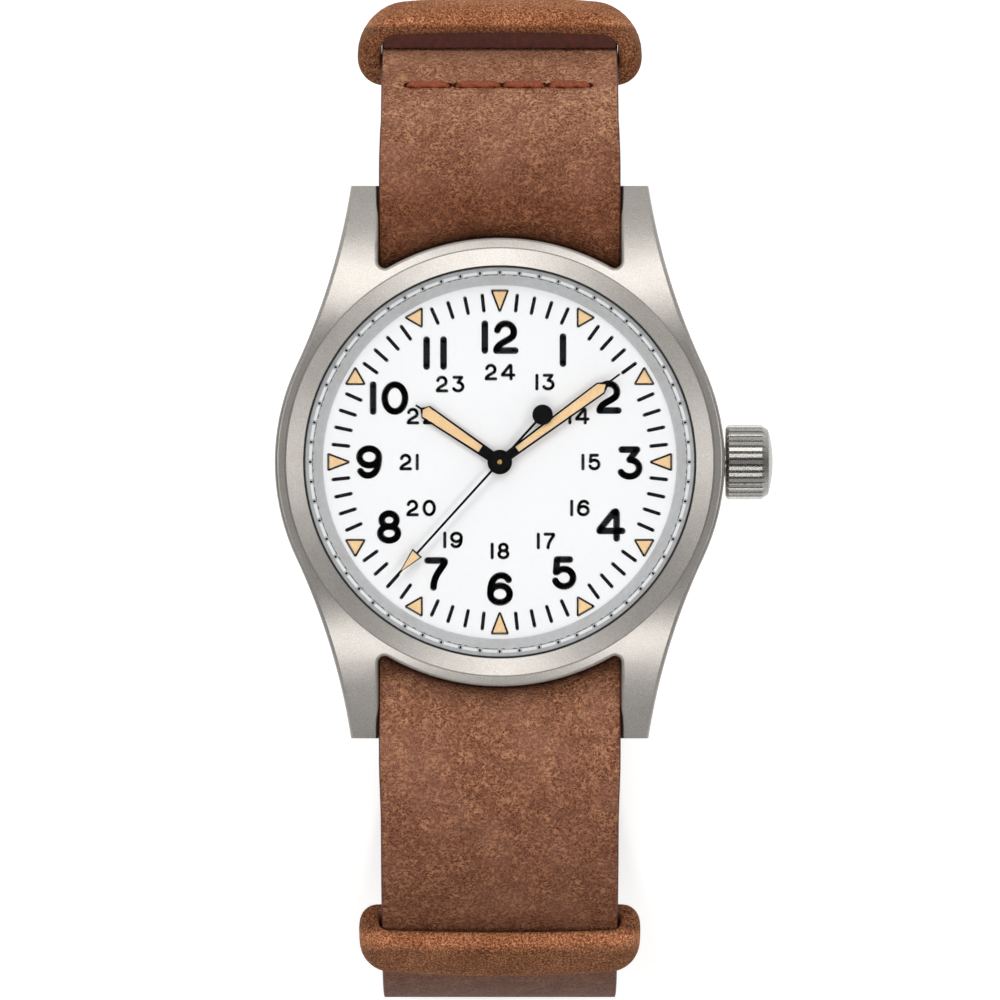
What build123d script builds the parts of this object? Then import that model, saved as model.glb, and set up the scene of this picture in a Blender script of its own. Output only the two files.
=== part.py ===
from build123d import *
import os
from math import acos, asin, atan2, cos, degrees, hypot, pi, radians, sin, sqrt

# A hand-wound field watch on a pull-through leather strap, standing on its strap loop.
# The dial faces +Z, 12 o'clock is +Y and the crown is on +X. Lengths are millimetres.
# The head is modelled with the case back's outer face at zero and lifted by head_z when saved.

# Fits
fit = 0.02  # between pieces that are pressed or screwed together
run = 0.05  # between a turning piece and what it turns in
over = 1.0  # how far a cutting tool passes the face that it cuts

# Case
case_wall = 3.95  # from the movement's holder to the flank
case_foot = 0.5  # the middle stands this far above the case back
case_top = 7.6
case_edge = 0.35  # rounding along the top of the flank
case_heel = 0.8  # bevel round the bottom of the flank
slope_long = 14.0  # the top curves down over this length to the lug tips
lug_tip_reach = 1.9  # from the spring bar to the tip
lug_wide = 2.4  # a lug's width at its tip
lug_tip_top = 2.9
lug_tip_foot = 0.55
lug_lean = 8.0  # degrees between the lug's outer edge at its tip and +Y
lug_gap = 20.5
lug_corner = 0.5  # rounding where a lug leaves the round case
bar_stand = 2.55  # from the round case to the spring bar's middle
bar_z = 2.2
bar_r = 0.75
bar_neck = 0.45
bar_collar = 1.0
bar_seat = 1.2  # depth of the blind hole in the lug
upright = 0.9  # an edge that rises more steeply than this is a corner of the flank

# Bezel, crystal and the ring over the dial
bezel_step = 0.85  # from the flank to the bezel
bezel_wide = 1.75  # from the bezel's edge to the glass
bezel_seat = 6.3
bezel_rim_top = 7.85
bezel_top = 8.2
bezel_edge = 0.12
bezel_ledge = 7.35
bezel_shelf = 0.35  # the glass stands on a shelf this wide
crystal_top = 9.5
crystal_edge_top = 8.55
crystal_bevel = 0.25
crystal_wall = 1.25
gasket_wall = 0.14
flange_wide = 0.95
flange_inset = 0.15  # from the bezel's bore to the ring's upper edge
flange_lip = 0.12

# Case back
back_step = 2.15  # from the flank to the back's edge
back_plate = 1.1
collar_step = 1.0  # from the back's edge to its collar
collar_wall = 0.7
collar_top = 2.3
notch_count = 6
notch_size = 2.4
notch_depth = 0.45
back_gasket_inset = 0.15
back_gasket_top = 1.55
back_fillet = 0.35

# Dial
dial_foot = 4.95
dial_thick = 0.4
dial_inset = 0.25  # from the ring's upper edge to the dial's edge
dial_hole = 1.05
dial_foot_r = 0.35
dial_foot_length = 0.9
dial_foot_inset = 0.9  # from the movement's edge
dial_foot_bearings = (105.0, 285.0)

# Hands: each is (tip, tail or hub, width at hub, width at shoulder, shoulder, level)
hand_thick = 0.12
hub_r = 1.04
needle_width = 0.17
hour_tip = 8.6
hour_shoulder = 7.6
hour_root_width = 0.9
hour_width = 1.26
hour_lume_start = 2.0
hour_level = 5.8
minute_tip = 12.6
minute_shoulder = 10.6
minute_root_width = 0.77
minute_width = 1.15
minute_lume_start = 1.85
minute_level = 6.2
minute_hub_r = 0.95
seconds_level = 6.58
seconds_tip = 13.1
seconds_width = 0.2
seconds_hub_r = 0.72
arrow_start = 10.55
arrow_end = 12.4
arrow_width = 0.93
weight_place = 5.4
weight_r = 0.87
lume_rim = 0.16
hour_angle = 304.1  # degrees clockwise from 12
minute_angle = 53.8
seconds_angle = 222.2

# Crown
crown_z = 3.4
crown_r = 3.15
crown_gap = 0.15  # between the flank and the crown
crown_skirt = 3.0
crown_shoulder = 0.6
crown_dome = 0.4
crown_shoulder_r = 2.75
crown_flutes = 36
flute_depth = 0.2
ridge_share = 0.28  # half of a ridge, of the flutes' pitch
crown_chamfer = 0.25
tube_r = 1.25
tube_bore = 0.8
tube_hold = 2.75  # length of the tube inside the case
tube_stand = 2.0  # length of the tube inside the crown
crown_cavity_spare = 0.3
crown_gasket_back = 0.8  # from the tube's end to the gasket
crown_gasket_long = 0.6
crown_gasket_wall = 0.35
stem_r = 0.55
stem_pilot_r = 0.3
stem_square = 0.75
stem_end = 6.2
stem_square_start = 7.6
stem_square_end = 10.1
stem_groove_x = 11.75
stem_groove_long = 0.55
stem_groove_r = 0.35
crown_pull = 1.0

# Movement: levels are heights over the case back
plate_margin = 0.4  # from the balance to the movement's edge
holder_wall = 2.3
holder_foot = 2.4
bridge_foot = 1.6
bridge_top = 2.2
plate_foot = 3.25
plate_rim = 1.8
plate_floor = 3.95
motion_floor = 4.28
motion_recess_r = 5.1
jewel_r = 0.48
jewel_thick = 0.22
jewel_seat = 0.12
pivot_r = 0.1
arbor_r = 0.14
wheel_thick = 0.12
pinion_thick = 0.22
spoke_width = 0.32
rim_wall = 0.42

# Teeth: heights are shares of the module and widths are shares of the pitch
tip_share = 1.1
pinion_tip_share = 0.85
root_share = 1.35
pinion_root_share = 1.45
land_share = 0.2
foot_share = 0.5
pocket_share = 2.0  # room round the setting wheel, of the module
crown_tooth_share = 2.0  # height of the winding pinion's teeth, of the module
hook_shares = ((0.8, -0.42), (0.985, 0.0), (1.0, 0.12), (0.8, 0.0))  # of the escape wheel's radius and pitch

# Going train: teeth and tooth sizes
tooth_module = 0.108
centre_teeth = 64
third_pinion_teeth = 8
third_teeth = 60
fourth_pinion_teeth = 8
fourth_teeth = 72
escape_pinion_teeth = 6
escape_module = 0.098
escape_teeth = 15
escape_r = 2.2
escape_spokes = 4
barrel_teeth = 72
centre_pinion_teeth = 12
barrel_module = 0.14
fourth_level = 2.3
third_level = 2.52
centre_level = 2.76
escape_level = 3.0
barrel_foot = 3.0
barrel_flange = 0.3
barrel_top = 3.85
barrel_wall = 0.3
barrel_floor = 0.14
barrel_arbor_r = 1.0
ribbon = 0.1
ribbon_turns = 6
third_bearing = 150.0  # directions from the centre, degrees anticlockwise from +X
escape_bearing = 260.0
barrel_bearing = 60.0
centre_spoke_bearing = 20.0
third_spoke_bearing = 10.0
fourth_spoke_bearing = 35.0
balance_bearing = 300.0

# Balance and pallets
balance_place = 8.2
balance_r = 4.2
balance_rim = 0.45
balance_foot = 2.25
balance_thick = 0.35
balance_arm = 0.5
balance_arm_bearings = (0.0, 60.0, 120.0)
roller_r = 0.75
impulse_place = 0.55
impulse_r = 0.07
fork_width = 0.34
fork_notch = 0.2
fork_pad_r = 0.34  # where the fork holds a stone
pallet_foot_place = 2.3  # of the pallet bridge's feet, either side of the fork's arbor
pallet_angle = 30.0  # each stone stands this far round the escape wheel from the line of centres
pad_share = 0.75  # where the fork's pad lies along the stone
stone_wide = 0.24
stone_long = 0.55
pallet_bridge_foot = 2.66
pallet_bridge_top = 2.93
coil_r = 1.9
coil_turns = 7
coil_wire = 0.07
coil_level = 2.0
cock_top = 1.85

# Bridges: where they part
bridge_split = 1.15
bridge_seam = 0.12
cock_share = 0.62
heel_r = 5.1
heel_bearing = 318.0
split_bearing = 42.0

# Motion work under the dial
motion_module = 0.115
cannon_teeth = 12
minute_wheel_teeth = 36
minute_pinion_teeth = 10
hour_teeth = 40
setting_teeth = 20
cannon_level = 4.34
cannon_high = 0.26
minute_wheel_level = 4.36
hour_wheel_level = 4.66
minute_post_bearing = -30.0
setting_bearing = 7.0  # of the setting wheel from the minute wheel
cannon_r = 0.6
centre_arbor_r = 0.42
seconds_arbor_r = 0.2
hour_tube_r = 0.92
hour_tube_bore = 0.66

# Winding and setting work
ratchet_teeth = 41
crown_wheel_teeth = 29
winding_module = 0.2
ratchet_foot = 1.66
ratchet_thick = 0.22
pinion_x = 10.2
pinion_long = 1.1
pinion_tip_r = 1.4
pinion_bore = 0.62
winding_pinion_teeth = 14
clutch_x = 8.2
clutch_long = 1.85
clutch_r = 1.1
clutch_groove_r = 0.8
clutch_groove_x = 8.95
clutch_groove_long = 0.4
clutch_travel = 0.7
lever_level = 4.4
lever_thick = 0.2
lever_post_x = 11.2
lever_post_y = 3.0
lever_pin_r = 0.16
lever_sweep = 2.2  # width of the recess that the lever swings in
yoke_post_x = 8.2
yoke_post_y = 4.2
yoke_level = 4.27
post_r = 0.35
yoke_neck_share = 0.25  # of the yoke's length, where its finger begins
arm_width = 0.55
click_x = 6.3
click_y = 9.6
click_lead = 14.0  # degrees round the ratchet wheel from the click's post to its nose

# Screws of the bridges
screw_r = 0.75
screw_head = 0.3
screw_shank = 0.4
screw_long = 1.3
screw_slot = 0.2
screw_inset = 0.9  # from the movement's edge
screw_bearings = (25.0, 95.0, 132.0, 178.0, 218.0, 262.0, 334.0)
slot_turn = 476.0  # spreads the directions of the slots, degrees

# Strap
strap_side_gap = 0.1  # between the strap and a lug
strap_thick = 1.3
strap_clear = 0.1
layer_gap = 0.05
bend_r = 1.5
upper_tilt = 12.0  # degrees down where the strap leaves the 12 o'clock bar
upper_r = 18.3
lower_tilt = 4.0
lower_r = 26.2
drop_run = 20.0
foot_r = 20.0
tail_length = 132.0  # from the 6 o'clock bar to the tip
buckle_side = 62.0  # from the 12 o'clock bar to the buckle's bar
hang_run = 10.0  # straight run below the upper keeper
curl_turn = 60.0  # how far the strap curls in towards the wrist above the buckle
tip_length = 9.0
hole_count = 9
hole_pitch = 6.5
hole_r = 1.0
first_hole = 25.0  # from the tip
seam_tilt = 48.3
under_end_tilt = 60.0
under_part_tilt = 45.0
hump_r = 3.0
dip_r = 6.0
stitch_count = 4
stitch_pitch = 4.12
stitch_long = 3.6
stitch_r = 0.24
stitch_groove = 0.03

# Keepers: a loop's width across the strap, its height over all and its corners
keeper_band = 5.0
keeper_side = 1.8  # leather at the two sides
keeper_inner_corner = 0.25
keeper_back_gap = 0.34
upper_keeper_gap = 0.3  # beside the strap
upper_keeper_high = 6.3
upper_keeper_wall = 1.75
upper_keeper_tilt = 72.3
upper_keeper_corner = 2.9
lower_keeper_gap = 0.15  # beside the strap
lower_keeper_high = 4.1
lower_keeper_wall = 1.27
lower_keeper_tilt = 53.3
lower_keeper_corner = 1.9

# Buckle
buckle_bar_r = 0.8
buckle_reach = 11.0
buckle_wire = 1.9
buckle_side_wire = 1.8
buckle_side_gap = 0.15
buckle_corner = 3.0
fold_back = 19.0  # degrees of the curl that the turned-back end lies along
fold_close_r = 5.0
tongue_width = 2.2
tongue_thick = 0.9
tongue_reach = 10.2
tongue_eye = 0.75
tongue_sink = 0.3  # how deep the blade lies in the bow
slot_width = 3.0
slot_reach = 7.0


# What follows from those sizes: the case is built outwards from the movement
movement_r = balance_place + balance_r + plate_margin
plate_rim_in = movement_r - plate_rim
screw_place = movement_r - screw_inset
dial_foot_place = movement_r - dial_foot_inset
holder_r = movement_r + holder_wall
case_r = holder_r + case_wall
bezel_r = case_r - bezel_step
crystal_r = bezel_r - bezel_wide
bezel_bore = crystal_r - bezel_shelf
flange_top_r = bezel_bore - flange_inset
flange_dial_r = flange_top_r - flange_wide
dial_r = flange_top_r - dial_inset
back_r = case_r - back_step
collar_r = back_r - collar_step
back_gasket_in = collar_r + back_gasket_inset
back_gasket_out = back_r - back_gasket_inset
bar_y = case_r + bar_stand
lug_tip_y = bar_y + lug_tip_reach
slope_start = lug_tip_y - slope_long
lug_tip_half = lug_gap / 2 + lug_wide  # outer half width across a pair of lugs at their tips
crown_start = case_r + crown_gap
crown_skirt_end = crown_start + crown_skirt
crown_shoulder_end = crown_skirt_end + crown_shoulder
crown_end = crown_shoulder_end + crown_dome
tube_start = case_r - tube_hold
tube_end = crown_start + tube_stand
crown_cavity_end = tube_end + crown_cavity_spare
crown_gasket_x = tube_end - crown_gasket_back
strap_width = lug_gap - 2 * strap_side_gap
buckle_inner = strap_width + 2 * buckle_side_gap
upper_keeper_wide = strap_width + 2 * (upper_keeper_gap + keeper_side)
lower_keeper_wide = strap_width + 2 * (lower_keeper_gap + keeper_side)
tongue_rest = buckle_wire / 2 - tongue_sink


# Small helpers

def polar(radius, bearing):
    """A place in plan at a distance and a direction in degrees from the centre."""
    return Vector(radius * cos(radians(bearing)), radius * sin(radians(bearing)), 0)


def disc(radius, foot, top, centre=Vector(0, 0, 0)):
    """An upright cylinder between two heights."""
    place = Location((centre.X, centre.Y, foot))
    return Solid.make_cylinder(radius, top - foot).moved(place)


def ring(outer, inner, foot, top, centre=Vector(0, 0, 0)):
    """An upright tube between two heights."""
    return disc(outer, foot, top, centre) - disc(inner, foot - over, top + over, centre)


def rod(radius, start, end, y=0.0, z=crown_z):
    """A cylinder along X between two places."""
    return Solid.make_cylinder(radius, end - start, Plane((start, y, z), z_dir=(1, 0, 0)))


def block(x0, x1, y0, y1, z0, z1):
    """A box between two corners."""
    return Solid.make_box(x1 - x0, y1 - y0, z1 - z0).moved(Location((x0, y0, z0)))


def revolved(points):
    """A closed outline of (radius, height) points turned about Z."""
    outline = Polyline(*[(r, 0, z) for r, z in points], close=True)
    return revolve(make_face(outline), axis=Axis.Z)


def plan(points, foot, top):
    """A closed outline in plan, extruded between two heights."""
    outline = Polyline(*[(p[0], p[1], foot) for p in points], close=True)
    return extrude(make_face(outline), amount=top - foot, dir=(0, 0, 1))


def slab(start, end, width, foot, top):
    """A straight bar in plan between two places, with round ends."""
    along_bar = end - start
    bearing = degrees(atan2(along_bar.Y, along_bar.X))
    bar = SlotCenterToCenter(along_bar.length, width)
    place = Location(((start + end).X / 2, (start + end).Y / 2, foot), (0, 0, bearing))
    return extrude(place * bar, amount=top - foot, dir=(0, 0, 1))


def one(shape):
    """The single solid of a boolean result."""
    solids = shape.solids()
    return solids[0] if len(solids) == 1 else Compound(solids)


# Toothed wheels

def toothed(module, teeth, phase, foot, top, centre, pinion=False):
    """A spur wheel: one tooth centre points in the direction of phase, in degrees."""
    pitch = 360 / teeth
    r = module * teeth / 2
    tip = r + module * (pinion_tip_share if pinion else tip_share)
    root = r - module * (pinion_root_share if pinion else root_share)
    points = []
    for tooth in range(teeth):
        middle = phase + tooth * pitch
        corners = ((root, -foot_share), (tip, -land_share), (tip, land_share), (root, foot_share))
        for radius, half in corners:
            points.append(centre + polar(radius, middle + half * pitch / 2))
    return plan([(p.X, p.Y) for p in points], foot, top)


def meshed_phase(phase, teeth, bearing, other_teeth):
    """The phase of a wheel that meshes with one of known phase, standing in that direction from it."""
    pitches = (bearing - phase) / (360 / teeth)
    return bearing + 180 + (pitches - 1 / 2) * 360 / other_teeth


def spokes_cut(module, teeth, centre, foot, top, hub, phase, count=4):
    """What is cut from a wheel between its rim and its hub."""
    outer = module * (teeth / 2 - root_share) - rim_wall
    hole = ring(outer, hub, foot - over, top + over, centre)
    for spoke in range(count):
        end = centre + polar(outer + over, phase + spoke * 360 / count)
        hole = hole - slab(centre, end, spoke_width, foot - 2 * over, top + 2 * over)
    return hole


def arbor(centre, foot, top, lower_pivot, upper_pivot):
    """A wheel's axle with a thin pivot at each end."""
    shaft = disc(arbor_r, foot, top, centre)
    return shaft + disc(pivot_r, lower_pivot, upper_pivot, centre)


# Places of the movement
centre = Vector(0, 0, 0)
train_distance = tooth_module * (centre_teeth + third_pinion_teeth) / 2
third_module = 2 * train_distance / (third_teeth + fourth_pinion_teeth)
escape_distance = escape_module * (fourth_teeth + escape_pinion_teeth) / 2
barrel_distance = barrel_module * (barrel_teeth + centre_pinion_teeth) / 2
third_at = polar(train_distance, third_bearing)
escape_at = polar(escape_distance, escape_bearing)
barrel_at = polar(barrel_distance, barrel_bearing)
balance_at = polar(balance_place, balance_bearing)
pallet_line = balance_at - escape_at
pallet_bearing = degrees(atan2(pallet_line.Y, pallet_line.X))
pallet_distance = escape_r / cos(radians(pallet_angle))
pallet_at = escape_at + polar(pallet_distance, pallet_bearing)
motion_distance = motion_module * (cannon_teeth + minute_wheel_teeth) / 2
minute_pinion_module = 2 * motion_distance / (minute_pinion_teeth + hour_teeth)
minute_post_at = polar(motion_distance, minute_post_bearing)
setting_distance = motion_module * (minute_wheel_teeth + setting_teeth) / 2
setting_at = minute_post_at + polar(setting_distance, setting_bearing)
winding_distance = winding_module * (ratchet_teeth + crown_wheel_teeth) / 2
crown_wheel_x = barrel_at.X + sqrt(winding_distance ** 2 - barrel_at.Y ** 2)
crown_wheel_at = Vector(crown_wheel_x, 0, 0)
ratchet_line = crown_wheel_at - barrel_at
ratchet_bearing = degrees(atan2(ratchet_line.Y, ratchet_line.X))
lever_at = Vector(lever_post_x, lever_post_y, 0)
yoke_at = Vector(yoke_post_x, yoke_post_y, 0)
click_at = Vector(click_x, click_y, 0)
dial_top = dial_foot + dial_thick

# Phases: each wheel is in mesh with the one before it
third_pinion_phase = meshed_phase(0, centre_teeth, third_bearing, third_pinion_teeth)
fourth_pinion_phase = meshed_phase(0, third_teeth, third_bearing + 180, fourth_pinion_teeth)
escape_pinion_phase = meshed_phase(0, fourth_teeth, escape_bearing, escape_pinion_teeth)
barrel_phase = meshed_phase(0, centre_pinion_teeth, barrel_bearing, barrel_teeth)
minute_wheel_phase = meshed_phase(0, cannon_teeth, minute_post_bearing, minute_wheel_teeth)
hour_phase = meshed_phase(0, minute_pinion_teeth, minute_post_bearing + 180, hour_teeth)
setting_phase = meshed_phase(minute_wheel_phase, minute_wheel_teeth, setting_bearing, setting_teeth)
crown_wheel_phase = meshed_phase(0, ratchet_teeth, ratchet_bearing, crown_wheel_teeth)


# Path of the strap, in the plane across the wrist

def trace(point, heading, steps):
    """Follow straight runs (length, 0) and arcs (radius, turn): returns (point, heading, step) for each."""
    legs = []
    for size, turn in steps:
        legs.append((point, heading, (size, turn)))
        if turn == 0:
            point = point + size * towards(heading)
        else:
            side = heading + (90 if turn > 0 else -90)
            hub = point + size * towards(side)
            heading = heading + turn
            point = hub + size * towards(side + 180 + turn)
    legs.append((point, heading, (0, 0)))
    return legs


def towards(heading):
    """A unit step in the strap's plane: 0 degrees is +Y and 90 is +Z."""
    return Vector(0, cos(radians(heading)), sin(radians(heading)))


def along(legs, distance):
    """The place and heading at a distance from the start of a path."""
    for point, heading, (size, turn) in legs:
        length = size if turn == 0 else size * abs(radians(turn))
        if distance <= length:
            part = turn * distance / length if turn else 0
            steps = [(distance, 0)] if turn == 0 else [(size, part)]
            last = trace(point, heading, steps)[-1]
            return last[0], last[1]
        distance = distance - length
    raise ValueError("the path is shorter than that")


def path_length(legs):
    """The length of a path."""
    return sum(size if turn == 0 else size * abs(radians(turn)) for _, _, (size, turn) in legs)


def side_edges(legs, offset):
    """The edges of one face of the strap, offset to the left of its centre line."""
    edges = []
    for (point, heading, (size, turn)), (after, heading_after, _) in zip(legs, legs[1:]):
        start = point + offset * towards(heading + 90)
        end = after + offset * towards(heading_after + 90)
        if turn == 0:
            edges.append(Edge.make_line(start, end))
        else:
            middle_point, middle_heading, _ = trace(point, heading, [(size, turn / 2)])[-1]
            middle = middle_point + offset * towards(middle_heading + 90)
            edges.append(Edge.make_three_point_arc(start, middle, end))
    return edges


def band(legs, thick, width):
    """A strip of leather along a path."""
    left = side_edges(legs, thick / 2)
    right = side_edges(legs, -thick / 2)
    start_cap = Edge.make_line(left[0] @ 0, right[0] @ 0)
    end_cap = Edge.make_line(left[-1] @ 1, right[-1] @ 1)
    outline = Wire(left + right + [start_cap, end_cap])
    profile = Face(outline).moved(Location((-width / 2, 0, 0)))
    return Solid.extrude(profile, Vector(width, 0, 0))


wrap_r = bar_r + strap_clear + strap_thick / 2
behind_z = -(strap_clear + strap_thick / 2)
rise_y = bar_y - wrap_r
climb = bar_z - behind_z - bend_r
behind_run = rise_y - bend_r
fold_r = buckle_bar_r + strap_clear + strap_thick / 2
curl_length = buckle_side - upper_r * radians(90 - upper_tilt) - hang_run
curl_r = curl_length / radians(curl_turn)
layer = strap_thick + layer_gap
bar_to_hub = curl_r - fold_r
close_to_hub = curl_r - layer - fold_close_r
bar_to_close = fold_r + fold_close_r
fold_past = degrees(
    acos((bar_to_close ** 2 + bar_to_hub ** 2 - close_to_hub ** 2) / (2 * bar_to_close * bar_to_hub))
)
fold_start = degrees(
    acos((bar_to_hub ** 2 + close_to_hub ** 2 - bar_to_close ** 2) / (2 * bar_to_hub * close_to_hub))
)
foot_run = tail_length - lower_r * radians(90 - lower_tilt) - drop_run - foot_r * pi / 2

upper_steps = [
    (behind_run, 0),
    (bend_r, 90),
    (climb, 0),
    (wrap_r, -(90 + upper_tilt)),
    (upper_r, -(90 - upper_tilt)),
    (hang_run, 0),
    (curl_r, -curl_turn),
]
fold_steps = [
    (fold_r, -(180 + fold_past)),
    (fold_close_r, fold_past + fold_start),
    (curl_r - layer, fold_back),
]
lower_steps = [
    (behind_run, 0),
    (bend_r, -90),
    (climb, 0),
    (wrap_r, 90 + lower_tilt),
    (lower_r, 90 - lower_tilt),
    (drop_run, 0),
    (foot_r, 90),
    (foot_run, 0),
]
upper_legs = trace(Vector(0, 0, behind_z), 0, upper_steps)
fold_legs = trace(upper_legs[-1][0], upper_legs[-1][1], fold_steps)
lower_legs = trace(Vector(0, 0, behind_z), 180, lower_steps)
head_z = strap_thick / 2 - lower_legs[-1][0].Z

upper_hub = upper_legs[4][0] + upper_r * towards(upper_legs[4][1] - 90)
lower_hub = lower_legs[4][0] + lower_r * towards(lower_legs[4][1] + 90)
buckle_at = upper_legs[-1][0] + fold_r * towards(upper_legs[-1][1] - 90)
buckle_heading = upper_legs[-1][1]


def upper_place(tilt):
    """The strap's centre line past the 12 o'clock bar where it slopes down by a tilt."""
    return upper_hub + upper_r * towards(90 - tilt)


def lower_place(tilt):
    """The strap's centre line past the 6 o'clock bar where it slopes down by a tilt."""
    return lower_hub + lower_r * towards(90 + tilt)


# Case

def lug_arc(y_side, x_side):
    """The lug's outer edge: one hollow arc, tangent to the round case, that ends at the tip."""
    tip = Vector(lug_tip_half, lug_tip_y, 0)
    normal = Vector(cos(radians(lug_lean)), sin(radians(lug_lean)), 0)
    reach = tip.dot(normal)
    sweep_r = (tip.dot(tip) - case_r ** 2) / (2 * (case_r - reach))
    hub = tip + sweep_r * normal
    leave = hub * (case_r / hub.length)
    middle_bearing = ((leave - hub).normalized() + (tip - hub).normalized()).normalized()
    middle = hub + sweep_r * middle_bearing
    return [Vector(p.X * x_side, p.Y * y_side, 0) for p in (leave, middle, tip)]


def case_plan():
    """The round case with its four lugs, seen from above."""
    edges = []
    corners = [(1, 1), (1, -1), (-1, -1), (-1, 1)]
    for y_side, x_side in corners:
        leave, middle, tip = lug_arc(y_side, x_side)
        inner = Vector(x_side * lug_gap / 2, tip.Y, 0)
        root = Vector(inner.X, y_side * sqrt(case_r ** 2 - (lug_gap / 2) ** 2), 0)
        edges.append(Edge.make_three_point_arc(leave, middle, tip))
        edges.append(Edge.make_line(tip, inner))
        edges.append(Edge.make_line(inner, root))
    for side in (1, -1):
        root = Vector(lug_gap / 2, side * sqrt(case_r ** 2 - (lug_gap / 2) ** 2), 0)
        mirrored = Vector(-root.X, root.Y, 0)
        edges.append(Edge.make_three_point_arc(root, Vector(0, side * case_r, 0), mirrored))
        leave = lug_arc(1, side)[0]
        across = Vector(leave.X, -leave.Y, 0)
        edges.append(Edge.make_three_point_arc(leave, Vector(side * case_r, 0, 0), across))
    return Face(Wire(edges))


def case_profile():
    """The case seen from the side: a flat middle whose top falls in a long curve to the lug tips."""
    fall = case_top - lug_tip_top
    reach = lug_tip_y - slope_start
    curve_r = (reach ** 2 + fall ** 2) / (2 * fall)
    half_turn = asin(reach / curve_r) / 2
    edges = []
    tips = []
    for side in (1, -1):
        start = Vector(0, side * slope_start, case_top)
        bow_y = slope_start + curve_r * sin(half_turn)
        middle = Vector(0, side * bow_y, case_top - curve_r * (1 - cos(half_turn)))
        tip = Vector(0, side * lug_tip_y, lug_tip_top)
        foot = Vector(0, side * lug_tip_y, lug_tip_foot)
        heel = Vector(0, side * (case_r - case_heel), case_foot)
        edges.append(Edge.make_three_point_arc(start, middle, tip))
        edges.append(Edge.make_line(tip, foot))
        edges.append(Edge.make_line(foot, heel))
        tips.append((start, heel))
    edges.append(Edge.make_line(tips[0][0], tips[1][0]))
    edges.append(Edge.make_line(tips[0][1], tips[1][1]))
    return Face(Wire(edges))


def build_case():
    """The case middle with its lugs, bored for what it holds."""
    height = case_top - case_foot
    body = Solid.extrude(case_plan().moved(Location((0, 0, case_foot))), Vector(0, 0, height))
    half = case_r + over
    profile = case_profile().moved(Location((-half, 0, 0)))
    body = one(body & Solid.extrude(profile, Vector(2 * half, 0, 0)))
    root_y = sqrt(case_r ** 2 - (lug_gap / 2) ** 2)
    roots = [
        edge
        for edge in body.edges()
        if abs(abs(edge.center().X) - lug_gap / 2) < fit and abs(abs(edge.center().Y) - root_y) < fit
    ]
    body = fillet(roots, lug_corner)
    shoulders = [
        edge
        for edge in body.edges()
        if edge.center().Z > lug_tip_top + case_edge
        and abs(edge.center().Y) < lug_tip_y - case_edge
        and hypot(edge.center().X, edge.center().Y) > bezel_r - case_edge
        and edge.length > case_edge
        and abs(edge.tangent_at(1 / 2).Z) < upright
    ]
    body = fillet(shoulders, case_edge)
    heel = revolved(
        [
            (case_r - case_heel, case_foot),
            (case_r + over, case_foot + case_heel + over),
            (case_r + over, case_foot - over),
            (case_r - case_heel, case_foot - over),
        ]
    )
    keep_lugs = block(-lug_gap / 2, lug_gap / 2, -lug_tip_y, lug_tip_y, 0, case_top)
    body = body - (heel & keep_lugs)
    side_heel = block(lug_tip_half, case_r + over, -slope_start, slope_start, 0, case_top)
    body = body - (heel & side_heel) - (heel & side_heel.mirror(Plane.YZ))
    body = body - disc(collar_r + fit, 0, collar_top + run)
    body = body - disc(back_r + fit, 0, back_plate + fit)
    body = body - disc(back_gasket_out + fit, 0, back_gasket_top)
    body = body - disc(holder_r + fit, 0, dial_foot)
    body = body - disc(flange_top_r + flange_lip + fit, dial_foot, case_top + over)
    body = body - disc(bezel_r, bezel_seat, case_top + over)
    body = body - rod(tube_r + fit, 0, case_r + over)
    for y_side in (1, -1):
        for x_side in (1, -1):
            start = x_side * (lug_gap / 2 - over)
            end = x_side * (lug_gap / 2 + bar_seat)
            body = body - rod(bar_neck + fit, min(start, end), max(start, end), y_side * bar_y, bar_z)
    return one(body)


def build_bezel():
    """The ring that carries the crystal."""
    inner = crystal_r + gasket_wall + 2 * fit
    return revolved(
        [
            (bezel_bore, bezel_seat),
            (bezel_r - fit, bezel_seat),
            (bezel_r - fit, bezel_rim_top - bezel_edge),
            (bezel_r - fit - bezel_edge, bezel_rim_top),
            (inner, bezel_top),
            (inner, bezel_ledge),
            (bezel_bore, bezel_ledge),
        ]
    )


def build_crystal():
    """The domed glass: the same dome inside and out, with a bevelled edge."""
    rise = crystal_top - crystal_edge_top
    flat_r = crystal_r - crystal_bevel
    outer_r = (flat_r ** 2 + rise ** 2) / (2 * rise)
    dome_hub = crystal_top - outer_r
    inner_r = outer_r - crystal_wall
    hollow_r = sqrt(inner_r ** 2 - (bezel_ledge - dome_hub) ** 2)
    half_out = asin(flat_r / outer_r) / 2
    half_in = asin(hollow_r / inner_r) / 2
    edges = [
        Edge.make_line((0, 0, dome_hub + inner_r), (0, 0, crystal_top)),
        Edge.make_three_point_arc(
            (0, 0, crystal_top),
            (outer_r * sin(half_out), 0, dome_hub + outer_r * cos(half_out)),
            (flat_r, 0, crystal_edge_top),
        ),
        Edge.make_line((flat_r, 0, crystal_edge_top), (crystal_r, 0, crystal_edge_top - crystal_bevel)),
        Edge.make_line((crystal_r, 0, crystal_edge_top - crystal_bevel), (crystal_r, 0, bezel_ledge)),
        Edge.make_line((crystal_r, 0, bezel_ledge), (hollow_r, 0, bezel_ledge)),
        Edge.make_three_point_arc(
            (hollow_r, 0, bezel_ledge),
            (inner_r * sin(half_in), 0, dome_hub + inner_r * cos(half_in)),
            (0, 0, dome_hub + inner_r),
        ),
    ]
    return revolve(Face(Wire(edges)), axis=Axis.Z)


def build_crystal_gasket():
    """The thin ring between the glass and the bezel."""
    return ring(crystal_r + fit + gasket_wall, crystal_r + fit, bezel_ledge, bezel_top)


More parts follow.
